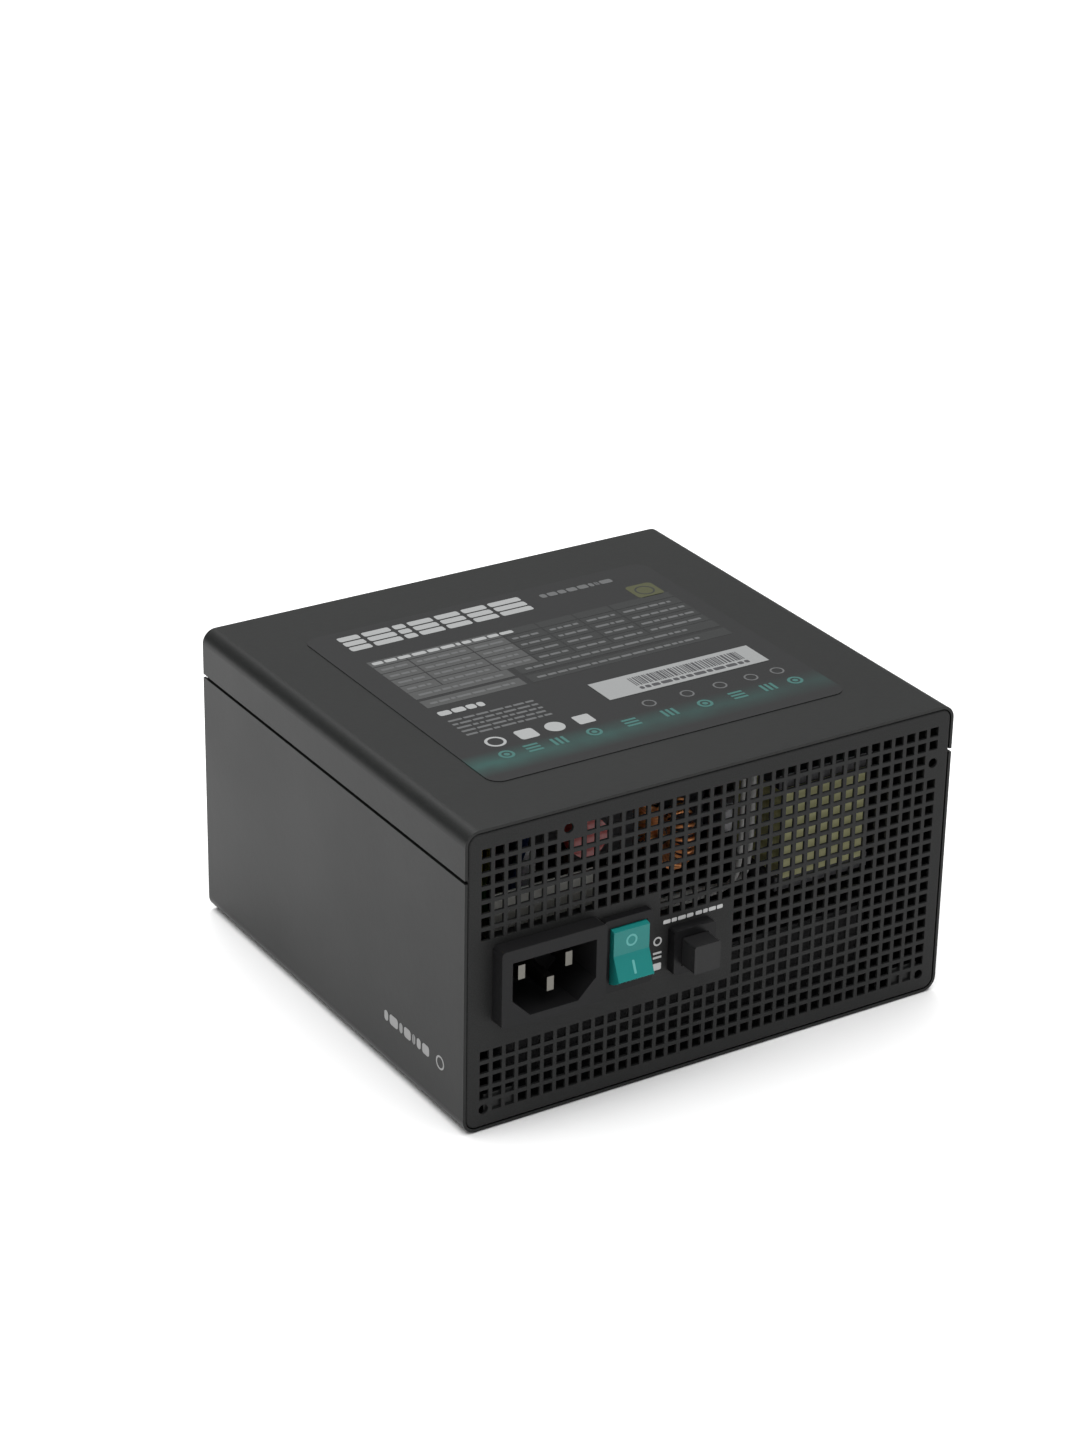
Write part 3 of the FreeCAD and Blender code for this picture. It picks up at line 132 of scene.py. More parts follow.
def mix_colours(tree, factor, first, second, blend="MIX"):
    node = tree.nodes.new("ShaderNodeMix")
    node.data_type = "RGBA"
    node.blend_type = blend
    if isinstance(factor, (int, float)):
        node.inputs["Factor"].default_value = factor
    else:
        tree.links.new(factor, node.inputs["Factor"])
    for socket, value in zip(colour_sockets(node.inputs), (first, second)):
        if isinstance(value, tuple):
            socket.default_value = (*value, 1)
        else:
            tree.links.new(value, socket)
    return colour_sockets(node.outputs)[0]


def shade(colour, amount):
    return tuple(min(1.0, channel * amount) for channel in colour)


def bump(tree, shader, heights, distance, strength=0.6):
    """Bump from one or more height fields, added up."""
    height = heights[0]
    for extra in heights[1:]:
        height = math_node(tree, "ADD", height, extra)
    node = tree.nodes.new("ShaderNodeBump")
    node.inputs["Strength"].default_value = strength
    node.inputs["Distance"].default_value = distance
    tree.links.new(height, node.inputs["Height"])
    tree.links.new(node.outputs["Normal"], shader.inputs["Normal"])


def surface(name, colour, roughness, metallic=0.0, variation=0.12, patch=60.0, grain=1500.0,
            depth=0.00002, coat=0.0, specular=0.5):
    """A finish with uneven colour and roughness and a fine grain."""
    material, tree, shader = new_material(name)
    patches = noise(tree, patch)
    fine = noise(tree, grain, 2.0)
    blend = math_node(tree, "MULTIPLY", math_node(tree, "ADD", patches, fine), 0.5)
    tone = mix_colours(tree, blend, shade(colour, 1 - variation), shade(colour, 1 + variation))
    tree.links.new(tone, shader.inputs["Base Color"])
    rough = remap(tree, patches, 0.3, 0.7, roughness - 0.04, roughness + 0.04)
    tree.links.new(rough, shader.inputs["Roughness"])
    bump(tree, shader, [fine], depth)
    shader.inputs["Metallic"].default_value = metallic
    shader.inputs["Coat Weight"].default_value = coat
    shader.inputs["Specular IOR Level"].default_value = specular
    return material


def powder_coat(name, colour, roughness, specular):
    """Black powder coat on steel: a fine sandy texture over a slight orange peel."""
    material, tree, shader = new_material(name)
    sand = noise(tree, 2600.0, 2.0)
    peel = noise(tree, 420.0, 2.0)
    patches = noise(tree, 22.0, 4.0)
    speckle = remap(tree, sand, 0.35, 0.75, 0.0, 1.0)
    tone = mix_colours(tree, speckle, shade(colour, 0.82), shade(colour, 1.28))
    uneven = mix_colours(tree, patches, (0.92, 0.92, 0.92), (1.06, 1.06, 1.06))
    product = mix_colours(tree, 1.0, tone, uneven, "MULTIPLY")
    tree.links.new(product, shader.inputs["Base Color"])
    rough = remap(tree, math_node(tree, "ADD", patches, sand), 0.7, 1.3,
                  roughness - 0.05, roughness + 0.05)
    tree.links.new(rough, shader.inputs["Roughness"])
    bump(tree, shader, [sand, math_node(tree, "MULTIPLY", peel, 1.5)], 0.00002, 0.55)
    shader.inputs["Specular IOR Level"].default_value = specular
    return material


def label_material():
    """The dark printed film, with a soft teal band along its rear edge."""
    material, tree, shader = new_material("label_film")
    separate = tree.nodes.new("ShaderNodeSeparateXYZ")
    tree.links.new(coordinates(tree), separate.inputs["Vector"])
    along, across = separate.outputs["Y"], separate.outputs["X"]
    base = (0.0125, 0.0128, 0.0131)
    band_colour = (0.018, 0.056, 0.050)
    band_middle = label_low.y + 10 * MM
    band_reach = 6.5 * MM
    band_core = 0.5 * MM
    distance = math_node(tree, "ABSOLUTE", math_node(tree, "SUBTRACT", along, band_middle), 0)
    band = remap(tree, distance, band_reach, band_core, 0.0, 1.0)
    fade = remap(tree, across, label_low.x, label_high.x, 1.0, 0.35)
    streaks = noise(tree, 130.0, 3.0)
    amount = math_node(tree, "MULTIPLY", math_node(tree, "MULTIPLY", band, fade),
                       remap(tree, streaks, 0.3, 0.7, 0.6, 1.0))
    fine = noise(tree, 1800.0, 2.0)
    tone = mix_colours(tree, fine, shade(base, 0.9), shade(base, 1.1))
    tree.links.new(mix_colours(tree, amount, tone, band_colour), shader.inputs["Base Color"])
    rough = remap(tree, noise(tree, 40.0), 0.3, 0.7, 0.36, 0.44)
    tree.links.new(rough, shader.inputs["Roughness"])
    bump(tree, shader, [fine], 0.000006)
    shader.inputs["Specular IOR Level"].default_value = 0.21
    return material


def striped(name, first, second, scale, direction, roughness, depth=0.00008):
    """Even stripes along an axis, for layered tape, laminations or close turns of wire."""
    material, tree, shader = new_material(name)
    wave = add_node(tree, "ShaderNodeTexWave", Scale=scale, Distortion=0.6, Detail=2.0)
    wave.bands_direction = direction
    tree.links.new(coordinates(tree), wave.inputs["Vector"])
    factor = wave.outputs["Fac"]
    mottle = remap(tree, noise(tree, 300.0), 0.3, 0.7, 0.8, 1.0)
    mottled = math_node(tree, "MULTIPLY", factor, mottle)
    tree.links.new(mix_colours(tree, mottled, first, second), shader.inputs["Base Color"])
    shader.inputs["Roughness"].default_value = roughness
    bump(tree, shader, [factor], depth)
    return material


def board_material(name, mask, trace):
    """Solder mask with fine straight tracks and round pads."""
    material, tree, shader = new_material(name)
    solder = (0.55, 0.55, 0.52)
    brick = add_node(tree, "ShaderNodeTexBrick", Scale=90.0)
    brick.inputs["Mortar Size"].default_value = 0.03
    tree.links.new(coordinates(tree), brick.inputs["Vector"])
    cells = add_node(tree, "ShaderNodeTexVoronoi", Scale=260.0, Randomness=0.6)
    tree.links.new(coordinates(tree), cells.inputs["Vector"])
    pads = remap(tree, cells.outputs["Distance"], 0.22, 0.26, 1.0, 0.0)
    lines = brick.outputs["Fac"]
    tracks = mix_colours(tree, lines, mask, trace)
    tree.links.new(mix_colours(tree, pads, tracks, solder), shader.inputs["Base Color"])
    tree.links.new(remap(tree, pads, 0, 1, 0.42, 0.28), shader.inputs["Roughness"])
    bump(tree, shader, [lines, pads], 0.00004)
    return material


STEEL = powder_coat("black_powder_coat", (0.0105, 0.0111, 0.0108), 0.40, 0.205)
PANEL = powder_coat("rear_powder_coat", (0.0165, 0.0168, 0.0167), 0.48, 0.14)
ZINC = surface("zinc_plated_steel", (0.50, 0.50, 0.48), 0.34, metallic=1.0, grain=900.0)
DARK_SCREW = surface("blackened_steel", (0.07, 0.07, 0.07), 0.35, metallic=1.0, grain=900.0)
LABEL = label_material()
PAPER = surface("white_sticker", (0.215, 0.22, 0.22), 0.42, variation=0.04, depth=0.000006,
                specular=0.2)
BLACK_PLASTIC = surface("black_moulding", (0.0105, 0.0105, 0.011), 0.40, depth=0.000012,
                        specular=0.14)
SWITCH_PLASTIC = surface("switch_moulding", (0.008, 0.008, 0.0085), 0.33, depth=0.000006,
                         specular=0.14)
KEY_PLASTIC = surface("key_moulding", (0.015, 0.015, 0.0155), 0.40, depth=0.00001, specular=0.2)
TEAL = surface("teal_rocker", (0.009, 0.178, 0.166), 0.24, variation=0.06, depth=0.000004,
               coat=0.06, specular=0.24)
PALE_TEAL = surface("pale_mark", (0.10, 0.36, 0.34), 0.4, variation=0.05, specular=0.2)
BRASS = surface("nickel_plated_brass", (0.46, 0.44, 0.38), 0.30, metallic=1.0, variation=0.08)
# The inlet blades use the plated brass darkened as painted shade, standing in for the shade deep
# inside the inlet socket.
SHADED_BLADES = surface("blade_plating_painted_shade", (0.15, 0.145, 0.13), 0.32, metallic=1.0, variation=0.08)
TIN = surface("tinned_copper", (0.72, 0.70, 0.66), 0.3, metallic=1.0, variation=0.1)
FERRITE = surface("ferrite", (0.030, 0.030, 0.034), 0.55, grain=700.0, depth=0.00004)
LAMINATION = striped("lamination", (0.20, 0.20, 0.21), (0.34, 0.34, 0.35), 330.0, "Z", 0.45)
BOARD = board_material("solder_mask", (0.012, 0.060, 0.030), (0.022, 0.105, 0.050))
FILM = surface("insulating_film", (0.27, 0.27, 0.25), 0.35, variation=0.08, depth=0.000006)
YELLOW_TAPE = striped("yellow_tape", (0.30, 0.30, 0.13), (0.46, 0.455, 0.22), 75.0, "Z", 0.38)
YELLOW_BOX = surface("yellow_case", (0.55, 0.42, 0.06), 0.36, variation=0.06)
RED = surface("red_lacquer", (0.29, 0.032, 0.028), 0.30, variation=0.08, coat=0.4)
CERAMIC = surface("ceramic", (0.72, 0.70, 0.64), 0.25, variation=0.05)
COPPER = surface("enamelled_copper", (0.72, 0.30, 0.12), 0.28, metallic=0.75, variation=0.15)
ALUMINIUM = surface("extruded_aluminium", (0.70, 0.70, 0.72), 0.36, metallic=1.0, variation=0.06)
EPOXY = surface("epoxy_package", (0.020, 0.020, 0.022), 0.48, grain=900.0, depth=0.00002)
SLEEVE = surface("capacitor_sleeve", (0.020, 0.024, 0.040), 0.30, variation=0.1, coat=0.2)
SPRING_STEEL = surface("spring_steel", (0.62, 0.62, 0.60), 0.26, metallic=1.0)
WIRES = {
    "live_wire": surface("brown_insulation", (0.055, 0.025, 0.014), 0.42),
    "neutral_wire": surface("blue_insulation", (0.010, 0.022, 0.080), 0.42),
    "switched_wire": surface("brown_sleeve", (0.050, 0.023, 0.013), 0.42),
    "earth_wire": striped("green_yellow_insulation", (0.010, 0.060, 0.016), (0.16, 0.14, 0.02),
                          28.0, "DIAGONAL", 0.42),
    "signal_leads": surface("white_insulation", (0.34, 0.34, 0.33), 0.42),
}

NODE_MATERIALS = {
    STEEL: ["label_panel", "fan_cover", "front_panel", "fan_grille", "corner_brackets"],
    PANEL: ["rear_panel"],
    ZINC: ["rotor_shaft", "board_standoffs", "board_screws"],
    DARK_SCREW: ["cover_screws", "fan_screws"],
    LABEL: ["rating_label"],
    PAPER: ["serial_label"],
    BLACK_PLASTIC: ["fan_frame", "fan_rotor", "inlet_housing", "socket_18pin", "socket_10pin",
                    "socket_8pin_1", "socket_8pin_2", "socket_8pin_3", "sockets_6pin"],
    SWITCH_PLASTIC: ["rocker_housing", "mode_housing"],
    KEY_PLASTIC: ["mode_button"],
    TEAL: ["rocker_button"],
    SHADED_BLADES: ["inlet_blades"],
    BRASS: ["rocker_terminals", "mode_pins", "socket_pins", "fan_bearing"],
    TIN: ["busbars"],
    FERRITE: ["rotor_magnet", "pfc_choke_core", "transformer_core", "choke_core"],
    LAMINATION: ["fan_stator"],
    BOARD: ["main_board", "modular_board", "dc_dc_board"],
    FILM: ["insulating_sheet"],
    YELLOW_TAPE: ["pfc_choke_winding", "transformer_winding", "standby_transformer"],
    YELLOW_BOX: ["x_capacitor"],
    RED: ["surge_varistor"],
    CERAMIC: ["line_fuse"],
    COPPER: ["choke_windings"],
    ALUMINIUM: ["primary_heatsink", "secondary_heatsink"],
    EPOXY: ["bridge_rectifier", "primary_transistors"],
    SLEEVE: ["bulk_capacitors", "output_capacitors"],
    SPRING_STEEL: ["mode_spring"],
}


def assign(obj, material):
    obj.data.materials.clear()
    obj.data.materials.append(material)


for finish, nodes in NODE_MATERIALS.items():
    for node_name in nodes:
        assign(frame["nodes"][node_name], finish)
for node_name, finish in WIRES.items():
    assign(frame["nodes"][node_name], finish)


# Mesh helpers

WELD = 1e-7
SHARE_DIGITS = 5
CORNER_STEPS = 4


def piece(name, mesh, material, body):
    """A finished Blender piece that rides on a CAD body."""
    obj = bpy.data.objects.new(name, mesh)
    bpy.context.scene.collection.objects.link(obj)
    assign(obj, material)
    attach(obj, body)
    return obj


def mesh_from(name, build, smooth=False):
    """A mesh that a function fills through bmesh."""
    form = bmesh.new()
    build(form)
    bmesh.ops.remove_doubles(form, verts=form.verts, dist=WELD)
    bmesh.ops.recalc_face_normals(form, faces=form.faces)
    mesh = bpy.data.meshes.new(name)
    form.to_mesh(mesh)
    form.free()
    for polygon in mesh.polygons:
        polygon.use_smooth = smooth
    return mesh


def arc_points(x, y, radius, start, end, steps):
    """Points along an arc, from one angle in degrees to another."""
    points = []
    for index in range(steps + 1):
        turn = math.radians(start + (end - start) * index / steps)
        points.append((x + radius * math.cos(turn), y + radius * math.sin(turn)))
    return points


def bar(x, y, width, height, radius=0.0):
    """A rectangle from its lower left corner, with rounded corners."""
    if not radius:
        return [(x, y), (x + width, y), (x + width, y + height), (x, y + height)]
    points = []
    centres = [(x + width - radius, y + height - radius, 0), (x + radius, y + height - radius, 90),
               (x + radius, y + radius, 180), (x + width - radius, y + radius, 270)]
    for across, up, start in centres:
        points += arc_points(across, up, radius, start, start + 90, CORNER_STEPS)
    return points


def disc(x, y, radius, sides=28):
    """A round outline."""
    return arc_points(x, y, radius, 0, 360, sides)[:-1]


def ring(x, y, radius, width, start=0, end=360, steps=32):
    """A band along an arc, as quads."""
    outer = arc_points(x, y, radius, start, end, steps)
    inner = arc_points(x, y, radius - width, start, end, steps)
    return [
        [inner[index], outer[index], outer[index + 1], inner[index + 1]]
        for index in range(steps)
    ]


def printed(name, shapes, origin, right, up, material, body, slot, lift=0.01, thick=0.02):
    """Ink marks as thin raised shapes, given in millimetres on a plane. Outlines that share an
    edge grow into one form, with walls at its outer edges only."""
    right, up = Vector(right), Vector(up)
    out = right.cross(up)
    start = Vector(origin) + out * lift * MM

    def build(form):
        feet = {}
        tops = {}
        edges = {}
        for points in shapes:
            corners = [(round(x, SHARE_DIGITS), round(y, SHARE_DIGITS)) for x, y in points]
            for x, y in corners:
                if (x, y) not in feet:
                    foot = start + (right * x + up * y) * MM
                    feet[x, y] = form.verts.new(foot)
                    tops[x, y] = form.verts.new(foot + out * thick * MM)
            form.faces.new([feet[corner] for corner in reversed(corners)])
            form.faces.new([tops[corner] for corner in corners])
            for pair in zip(corners, corners[1:] + corners[:1]):
                edges.setdefault(tuple(sorted(pair)), []).append(pair)
        for sharing in edges.values():
            if len(sharing) == 1:
                first, second = sharing[0]
                form.faces.new([feet[first], feet[second], tops[second], tops[first]])

    return piece(name, mesh_from(name, build), material, body)


def skin(form, rows):
    """Quads between closed rows of vertices, with a face over each end."""
    count = len(rows[0])
    for first, second in zip(rows, rows[1:]):
        for index in range(count):
            following = (index + 1) % count
            form.faces.new([first[index], first[following], second[following], second[index]])
    form.faces.new(rows[0])
    form.faces.new(rows[-1])


def lathe(form, profile, origin, sides):
    """Revolves a profile of (radius, height) about an upright axis."""
    rows = []
    for radius, height in profile:
        row = []
        for index in range(sides):
            angle = 2 * math.pi * index / sides
            point = Vector((radius * math.cos(angle), radius * math.sin(angle), height))
            row.append(form.verts.new(Vector(origin) + point))
        rows.append(row)
    skin(form, rows)


# Printed label

def ink(name, colour):
    return surface(name, colour, 0.45, variation=0.05, depth=0.000004, specular=0.2)


INK = ink("white_ink", (0.255, 0.26, 0.26))
REAR_INK = ink("rear_ink", (0.48, 0.48, 0.48))
# The side marks' white ink is painted lighter than the label's as painted light, making up for the
# weaker light on the left side.
SIDE_INK_PAINTED_LIGHT = ink("side_ink_painted_light", (0.30, 0.30, 0.30))
GREY_INK = ink("grey_ink", (0.085, 0.087, 0.088))
TABLE_INK = ink("table_ink", (0.021, 0.022, 0.022))
PANEL_INK = ink("table_head_ink", (0.050, 0.051, 0.051))
GOLD_INK = ink("gold_ink", (0.050, 0.052, 0.024))
TEAL_INK = ink("teal_ink", (0.035, 0.105, 0.095))
DARK_INK = ink("dark_ink", (0.045, 0.045, 0.048))

LABEL_PLANE = {
    "origin": (label_low.x, label_low.y, LABEL_TOP),
    "right": (1, 0, 0),
    "up": (0, 1, 0),
    "body": "case",
    "slot": "label_film",
}

SHORTEST_WORD = 1.2
LONGEST_WORD = 4.4


def words(x, y, width, height, seed, gap=0.7):
    """A row of short bars that stands for a line of print."""
    dice = random.Random(seed)
    shapes = []
    place = x
    while place < x + width - SHORTEST_WORD:
        length = min(dice.uniform(SHORTEST_WORD, LONGEST_WORD), x + width - place)
        shapes.append(bar(place, y, length, height, height * 0.3))
        place += length + gap
    return shapes


HEADING_LEFT = 8.5
HEADING_LOW = 87.0
HEADING_STEP = 3.4
HEADING_GAP = 1.1
HEADING_BLOCKS = (6.5, 8.5, 3.6, 7.5, 7.5, 7.5, 10.0)


def label_heading():
    """The large heading as blocks of three bars, the small line after it, and the badge."""
    heading = []
    place = HEADING_LEFT
    for width in HEADING_BLOCKS:
        for row in range(3):
            heading.append(bar(place, HEADING_LOW + HEADING_STEP * row, width, 2.7, 0.7))
        place += width + HEADING_GAP
    printed("label_heading", heading, material=INK, **LABEL_PLANE)
    printed("label_tagline", words(72, 92.2, 24, 2.4, 3, 0.5), material=GREY_INK, **LABEL_PLANE)
    badge = bar(95.6, 78.5, 8.6, 8.6, 1.4)
    printed("label_badge", [badge], material=GOLD_INK, **LABEL_PLANE)
    printed("label_badge_ring", ring(99.9, 82.8, 2.9, 0.5), material=TABLE_INK, lift=0.03,
            **LABEL_PLANE)


# The table's cells: the left edge and width of each column, the low edge and height of each row,
# and the low edges of the two wide rows under it.
TABLE_COLUMNS = [(8, 10.6), (19, 17.6), (37, 11.6), (49, 11.6), (61, 11.6), (73, 11.6),
                 (85, 19.6)]
TABLE_ROWS = [(75.2, 3.6), (70.6, 4.2), (66.0, 4.2), (61.4, 4.2), (56.8, 4.2)]
WIDE_ROWS = (52.0, 46.0)
LIT_COLUMNS = 3
FINE_PRINT = 1.1


def label_table():
    """The ratings table as plain cells, lighter at the left, with fine bars for its figures."""
    left_cells = []
    cells = []
    for up, height in TABLE_ROWS:
        for column, (across, width) in enumerate(TABLE_COLUMNS):
            side = left_cells if column < LIT_COLUMNS else cells
            side.append(bar(across, up, width, height))
    for up in WIDE_ROWS:
        left_cells.append(bar(8, up, 30.5, 4.6))
        cells.append(bar(40.5, up, 64.1, 4.6))
    printed("label_table_left", left_cells, material=PANEL_INK, **LABEL_PLANE)
    printed("label_table", cells, material=TABLE_INK, **LABEL_PLANE)
    marks = []
    for row, (up, height) in enumerate(TABLE_ROWS[1:]):
        for column, (across, width) in enumerate(TABLE_COLUMNS):
            seed = 10 * row + column
            marks += words(across + 1.2, up + height / 2 - FINE_PRINT / 2, width - 2.4,
                           FINE_PRINT, seed, 0.5)
    for row, up in enumerate(WIDE_ROWS):
        marks += words(10, up + 1.7, 26, FINE_PRINT, 70 + row, 0.5)
        marks += words(43, up + 1.7, 52, FINE_PRINT, 80 + row, 0.5)
    printed("label_fine_print", marks, material=GREY_INK, lift=0.03, **LABEL_PLANE)
    title = words(9, 76.3, 44, 1.7, 5, 0.6)
    printed("label_subheading", title, material=INK, lift=0.03, **LABEL_PLANE)


ICON_PLACES = (9.5, 17.5, 25.5, 36.0, 47.5, 59.5, 70.5, 81.0, 91.0, 99.5)
ICON_LOW = 10.6
ICON_STEP = 1.6
RING_PLACES = (60.0, 72.0, 82.5, 92.5, 101.0)


def label_symbols():
    """The small print low on the label, the row of white symbols and the teal row under it."""
    printed("label_caption", words(8.5, 40.2, 14.5, 2.6, 6, 0.5), material=INK, **LABEL_PLANE)
    lines = []
    for row in range(5):
        lines += words(8.5, 36.0 - 2.3 * row, 26, 1.0, 20 + row, 0.5)
    printed("label_lines", lines, material=GREY_INK, **LABEL_PLANE)
    white = ring(13, 20.3, 2.9, 0.8) + [bar(19.6, 17.6, 5.6, 5.4, 1.0)]
    white += [disc(31.0, 20.3, 2.8), bar(37.4, 17.9, 5.0, 5.0, 0.6)]
    printed("label_symbols", white, material=INK, **LABEL_PLANE)
    teal = []
    for column, across in enumerate(ICON_PLACES):
        if column % 3 == 0:
            teal += ring(across + 2.2, 12.6, 2.2, 0.8)
            teal.append(disc(across + 2.2, 12.6, 0.8))
        elif column % 3 == 1:
            teal += [bar(across, ICON_LOW + ICON_STEP * row, 4.4, 0.9, 0.2) for row in range(3)]
        else:
            teal += [bar(across + ICON_STEP * row, ICON_LOW, 0.9, 4.0, 0.2) for row in range(3)]
    printed("label_icons", teal, material=TEAL_INK, **LABEL_PLANE)
    pale = []
    for across in RING_PLACES:
        pale += ring(across, 20.0, 2.0, 0.5)
    printed("label_rings", pale, material=GREY_INK, **LABEL_PLANE)


def sticker_prints():
    """Uneven upright bars over a line of short ones, coding nothing."""
    plane = {
        "origin": (sticker_low.x, sticker_low.y, sticker_high.z),
        "right": (1, 0, 0),
        "up": (0, 1, 0),
        "body": "case",
        "slot": "white_film",
    }
    dice = random.Random(4)
    bars = []
    start = 11.0
    end = 46.0
    place = start
    while place < end:
        width = dice.choice((0.3, 0.5, 0.8))
        bars.append(bar(place, 4.0, width, 5.0))
        place += width + dice.choice((0.25, 0.35, 0.5))
    bars += words(start, 1.5, end - start, 1.6, 31, 0.5)
    printed("sticker_print", bars, material=DARK_INK, thick=0.015, **plane)


# Marks on the switches and the sides. The two words above the square button are given as the
# widths of their bars.

FIRST_WORD = (2.2, 1.6, 2.4, 2.0)
SECOND_WORD = (2.0, 1.4, 2.2, 1.8)
LETTER_GAP = 0.35


def rear_marks():
    """The line above the square button, and the ring, double bar and block at its side."""
    mode_low, mode_high = box_of("mode_housing")
    plane = {
        "origin": (0, REAR, 0),
        "right": (1, 0, 0),
        "up": (0, 0, 1),
        "body": "case",
        "slot": "black_steel",
    }
    middle = (mode_low.x + mode_high.x) / 2 / MM
    top = mode_high.z / MM
    line = []
    place = middle - 8.0
    for word in (FIRST_WORD, SECOND_WORD):
        for width in word:
            line.append(bar(place, top + 1.3, width, 1.1, 0.3))
            place += width + LETTER_GAP
        place += LETTER_GAP
    side = mode_low.x / MM - 3.2
    low = mode_low.z / MM
    line += ring(side, low + 9.6, 1.3, 0.45)
    line += [bar(side - 1.3, low + 4.6, 2.6, 0.6), bar(side - 1.3, low + 5.9, 2.6, 0.6)]
    line += [bar(side - 1.3, low + 1.2, 2.6, 2.0, 0.4)]
    printed("rear_marks", line, material=REAR_INK, **plane)


def rocker_marks():
    """The ring and the bar on the rocker's two faces, which are at the joint's full angle."""
    joint = joint_named("rocker")
    pivot = Vector(joint["pos_m"])
    throw = math.radians(joint["range_deg"][1])
    rise = 2.9 * MM
    half = throw / 2
    vertex = pivot + Vector((0, -rise * math.cos(half), rise * math.sin(half)))
    common = {"right": (1, 0, 0), "body": "rocker", "slot": "teal_plastic", "material": PALE_TEAL}
    printed("rocker_off_mark", ring(0, 3.6, 1.7, 0.55), origin=vertex, up=(0, 0, 1), **common)
    down = (0, math.sin(throw), math.cos(throw))
    printed("rocker_on_mark", [bar(-0.35, -5.6, 0.7, 3.6, 0.2)], origin=vertex, up=down, **common)


def side_marks():
    """A generic line of marks low on the left side, near the rear, in white ink painted lighter as
    painted light.
    """
    plane = {
        "origin": (LEFT, REAR, 0),
        "right": (0, -1, 0),
        "up": (0, 0, 1),
        "body": "case",
        "slot": "black_steel",
    }
    marks = words(-40, 14.2, 23, 3.0, 8, 0.8)
    marks += ring(-11.5, 15.6, 2.0, 0.5)
    printed("side_marks", marks, material=SIDE_INK_PAINTED_LIGHT, **plane)


label_heading()
label_table()
label_symbols()
sticker_prints()
rear_marks()
rocker_marks()
side_marks()


# Fan rotor: a dished hub and swept, twisted blades. Pitch is in degrees, the chord in
# millimetres and the sweep in radians.

HUB_RADIUS = 19.5 * MM
HUB_ROOT = 0.6 * MM
BLADE_COUNT = 9
BLADE_SPANS = 14
BLADE_STATIONS = 9
ROOT_PITCH = 46
PITCH_LOSS = 20
ROOT_CHORD = 19
CHORD_GAIN = 12
BLADE_SWEEP = 0.30
BLADE_THICK = 0.75 * MM
BLADE_CAMBER = 1.9 * MM
BLADE_FLATTENING = 0.82


def blade_row(form, share, start, reach, low, high):
    """One closed section of a blade, at a share of the way from the hub to the tip."""
    radius = HUB_RADIUS - HUB_ROOT + share * (reach - HUB_RADIUS + HUB_ROOT)
    pitch = math.radians(ROOT_PITCH - PITCH_LOSS * share)
    chord = (ROOT_CHORD + CHORD_GAIN * share) * MM
    sweep = start + BLADE_SWEEP * share ** 1.6
    middle = (low.z + high.z) / 2
    row = []
    for side in (1, -1):
        for index in range(BLADE_STATIONS):
            along = (index / (BLADE_STATIONS - 1) - 0.5) * side
            crown = 1 - (2 * along) ** 2
            lift = (BLADE_CAMBER + BLADE_THICK * side) * crown
            angle = sweep + along * chord * math.cos(pitch) / radius
            height = middle - along * chord * math.sin(pitch) * BLADE_FLATTENING + lift
            height = min(max(height, low.z + 1.0 * MM), high.z - 0.4 * MM)
            row.append(form.verts.new((radius * math.cos(angle), radius * math.sin(angle),
                                       height)))
    return row


def fan_rotor():
    """The hub and blades as one piece, which replaces the plainer CAD rotor."""
    low, high = box_of("fan_rotor")
    reach = high.x * 0.995

    def build(form):
        lathe(form, [(1.6 * MM, low.z + 0.6 * MM), (14 * MM, low.z + 0.3 * MM),
                     (18.2 * MM, low.z + 0.5 * MM), (HUB_RADIUS, low.z + 1.8 * MM),
                     (HUB_RADIUS, high.z), (18.0 * MM, high.z), (18.0 * MM, low.z + 2.2 * MM),
                     (1.6 * MM, low.z + 2.2 * MM)], (0, 0, 0), 64)
        for blade in range(BLADE_COUNT):
            start = 2 * math.pi * blade / BLADE_COUNT
            rows = [blade_row(form, step / BLADE_SPANS, start, reach, low, high)
                    for step in range(BLADE_SPANS + 1)]
            skin(form, rows)

    rotor = piece("fan_blades", mesh_from("fan_blades", build, True), BLACK_PLASTIC, "rotor")
    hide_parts("fan_rotor")


fan_rotor()


# Components with rounder forms than their CAD solids

def can_profile(radius, height):
    """A sleeved can that hangs down: crimped near the board, with a rounded lower end."""
    return [
        (radius * 0.86, 0.0), (radius * 0.93, -0.3 * MM), (radius * 0.97, -1.4 * MM),
        (radius * 0.93, -2.2 * MM), (radius * 0.97, -3.0 * MM), (radius, -3.8 * MM),
        (radius, -height + 1.2 * MM), (radius * 0.97, -height + 0.4 * MM),
        (radius * 0.90, -height), (radius * 0.84, -height + 0.5 * MM),
        (radius * 0.30, -height + 0.6 * MM),
    ]


def capacitors():
    """The two large cans and the ten small ones, hanging from the main board."""
    board_low = box_of("main_board")[0].z
    low, high = box_of("bulk_capacitors")
    radius = (high.x - low.x) / 2
    across = (low.x + high.x) / 2

    def bulk(form):
        for forward in (low.y + radius, high.y - radius):
            lathe(form, can_profile(radius, high.z - low.z), (across, forward, board_low), 56)

    obj = piece("bulk_cans", mesh_from("bulk_cans", bulk, True), SLEEVE, "case")
    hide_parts("bulk_capacitors")
    small_low, small_high = box_of("output_capacitors")
    small = 5 * MM
    step = 10.5 * MM
    count = 10

    def output(form):
        for number in range(count):
            place = (small_low.x + small + step * (number % 2),
                     small_low.y + small + step * (number // 2), board_low)
            lathe(form, can_profile(small, small_high.z - small_low.z), place, 32)

    obj = piece("output_cans", mesh_from("output_cans", output, True), SLEEVE, "case")
    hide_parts("output_capacitors")


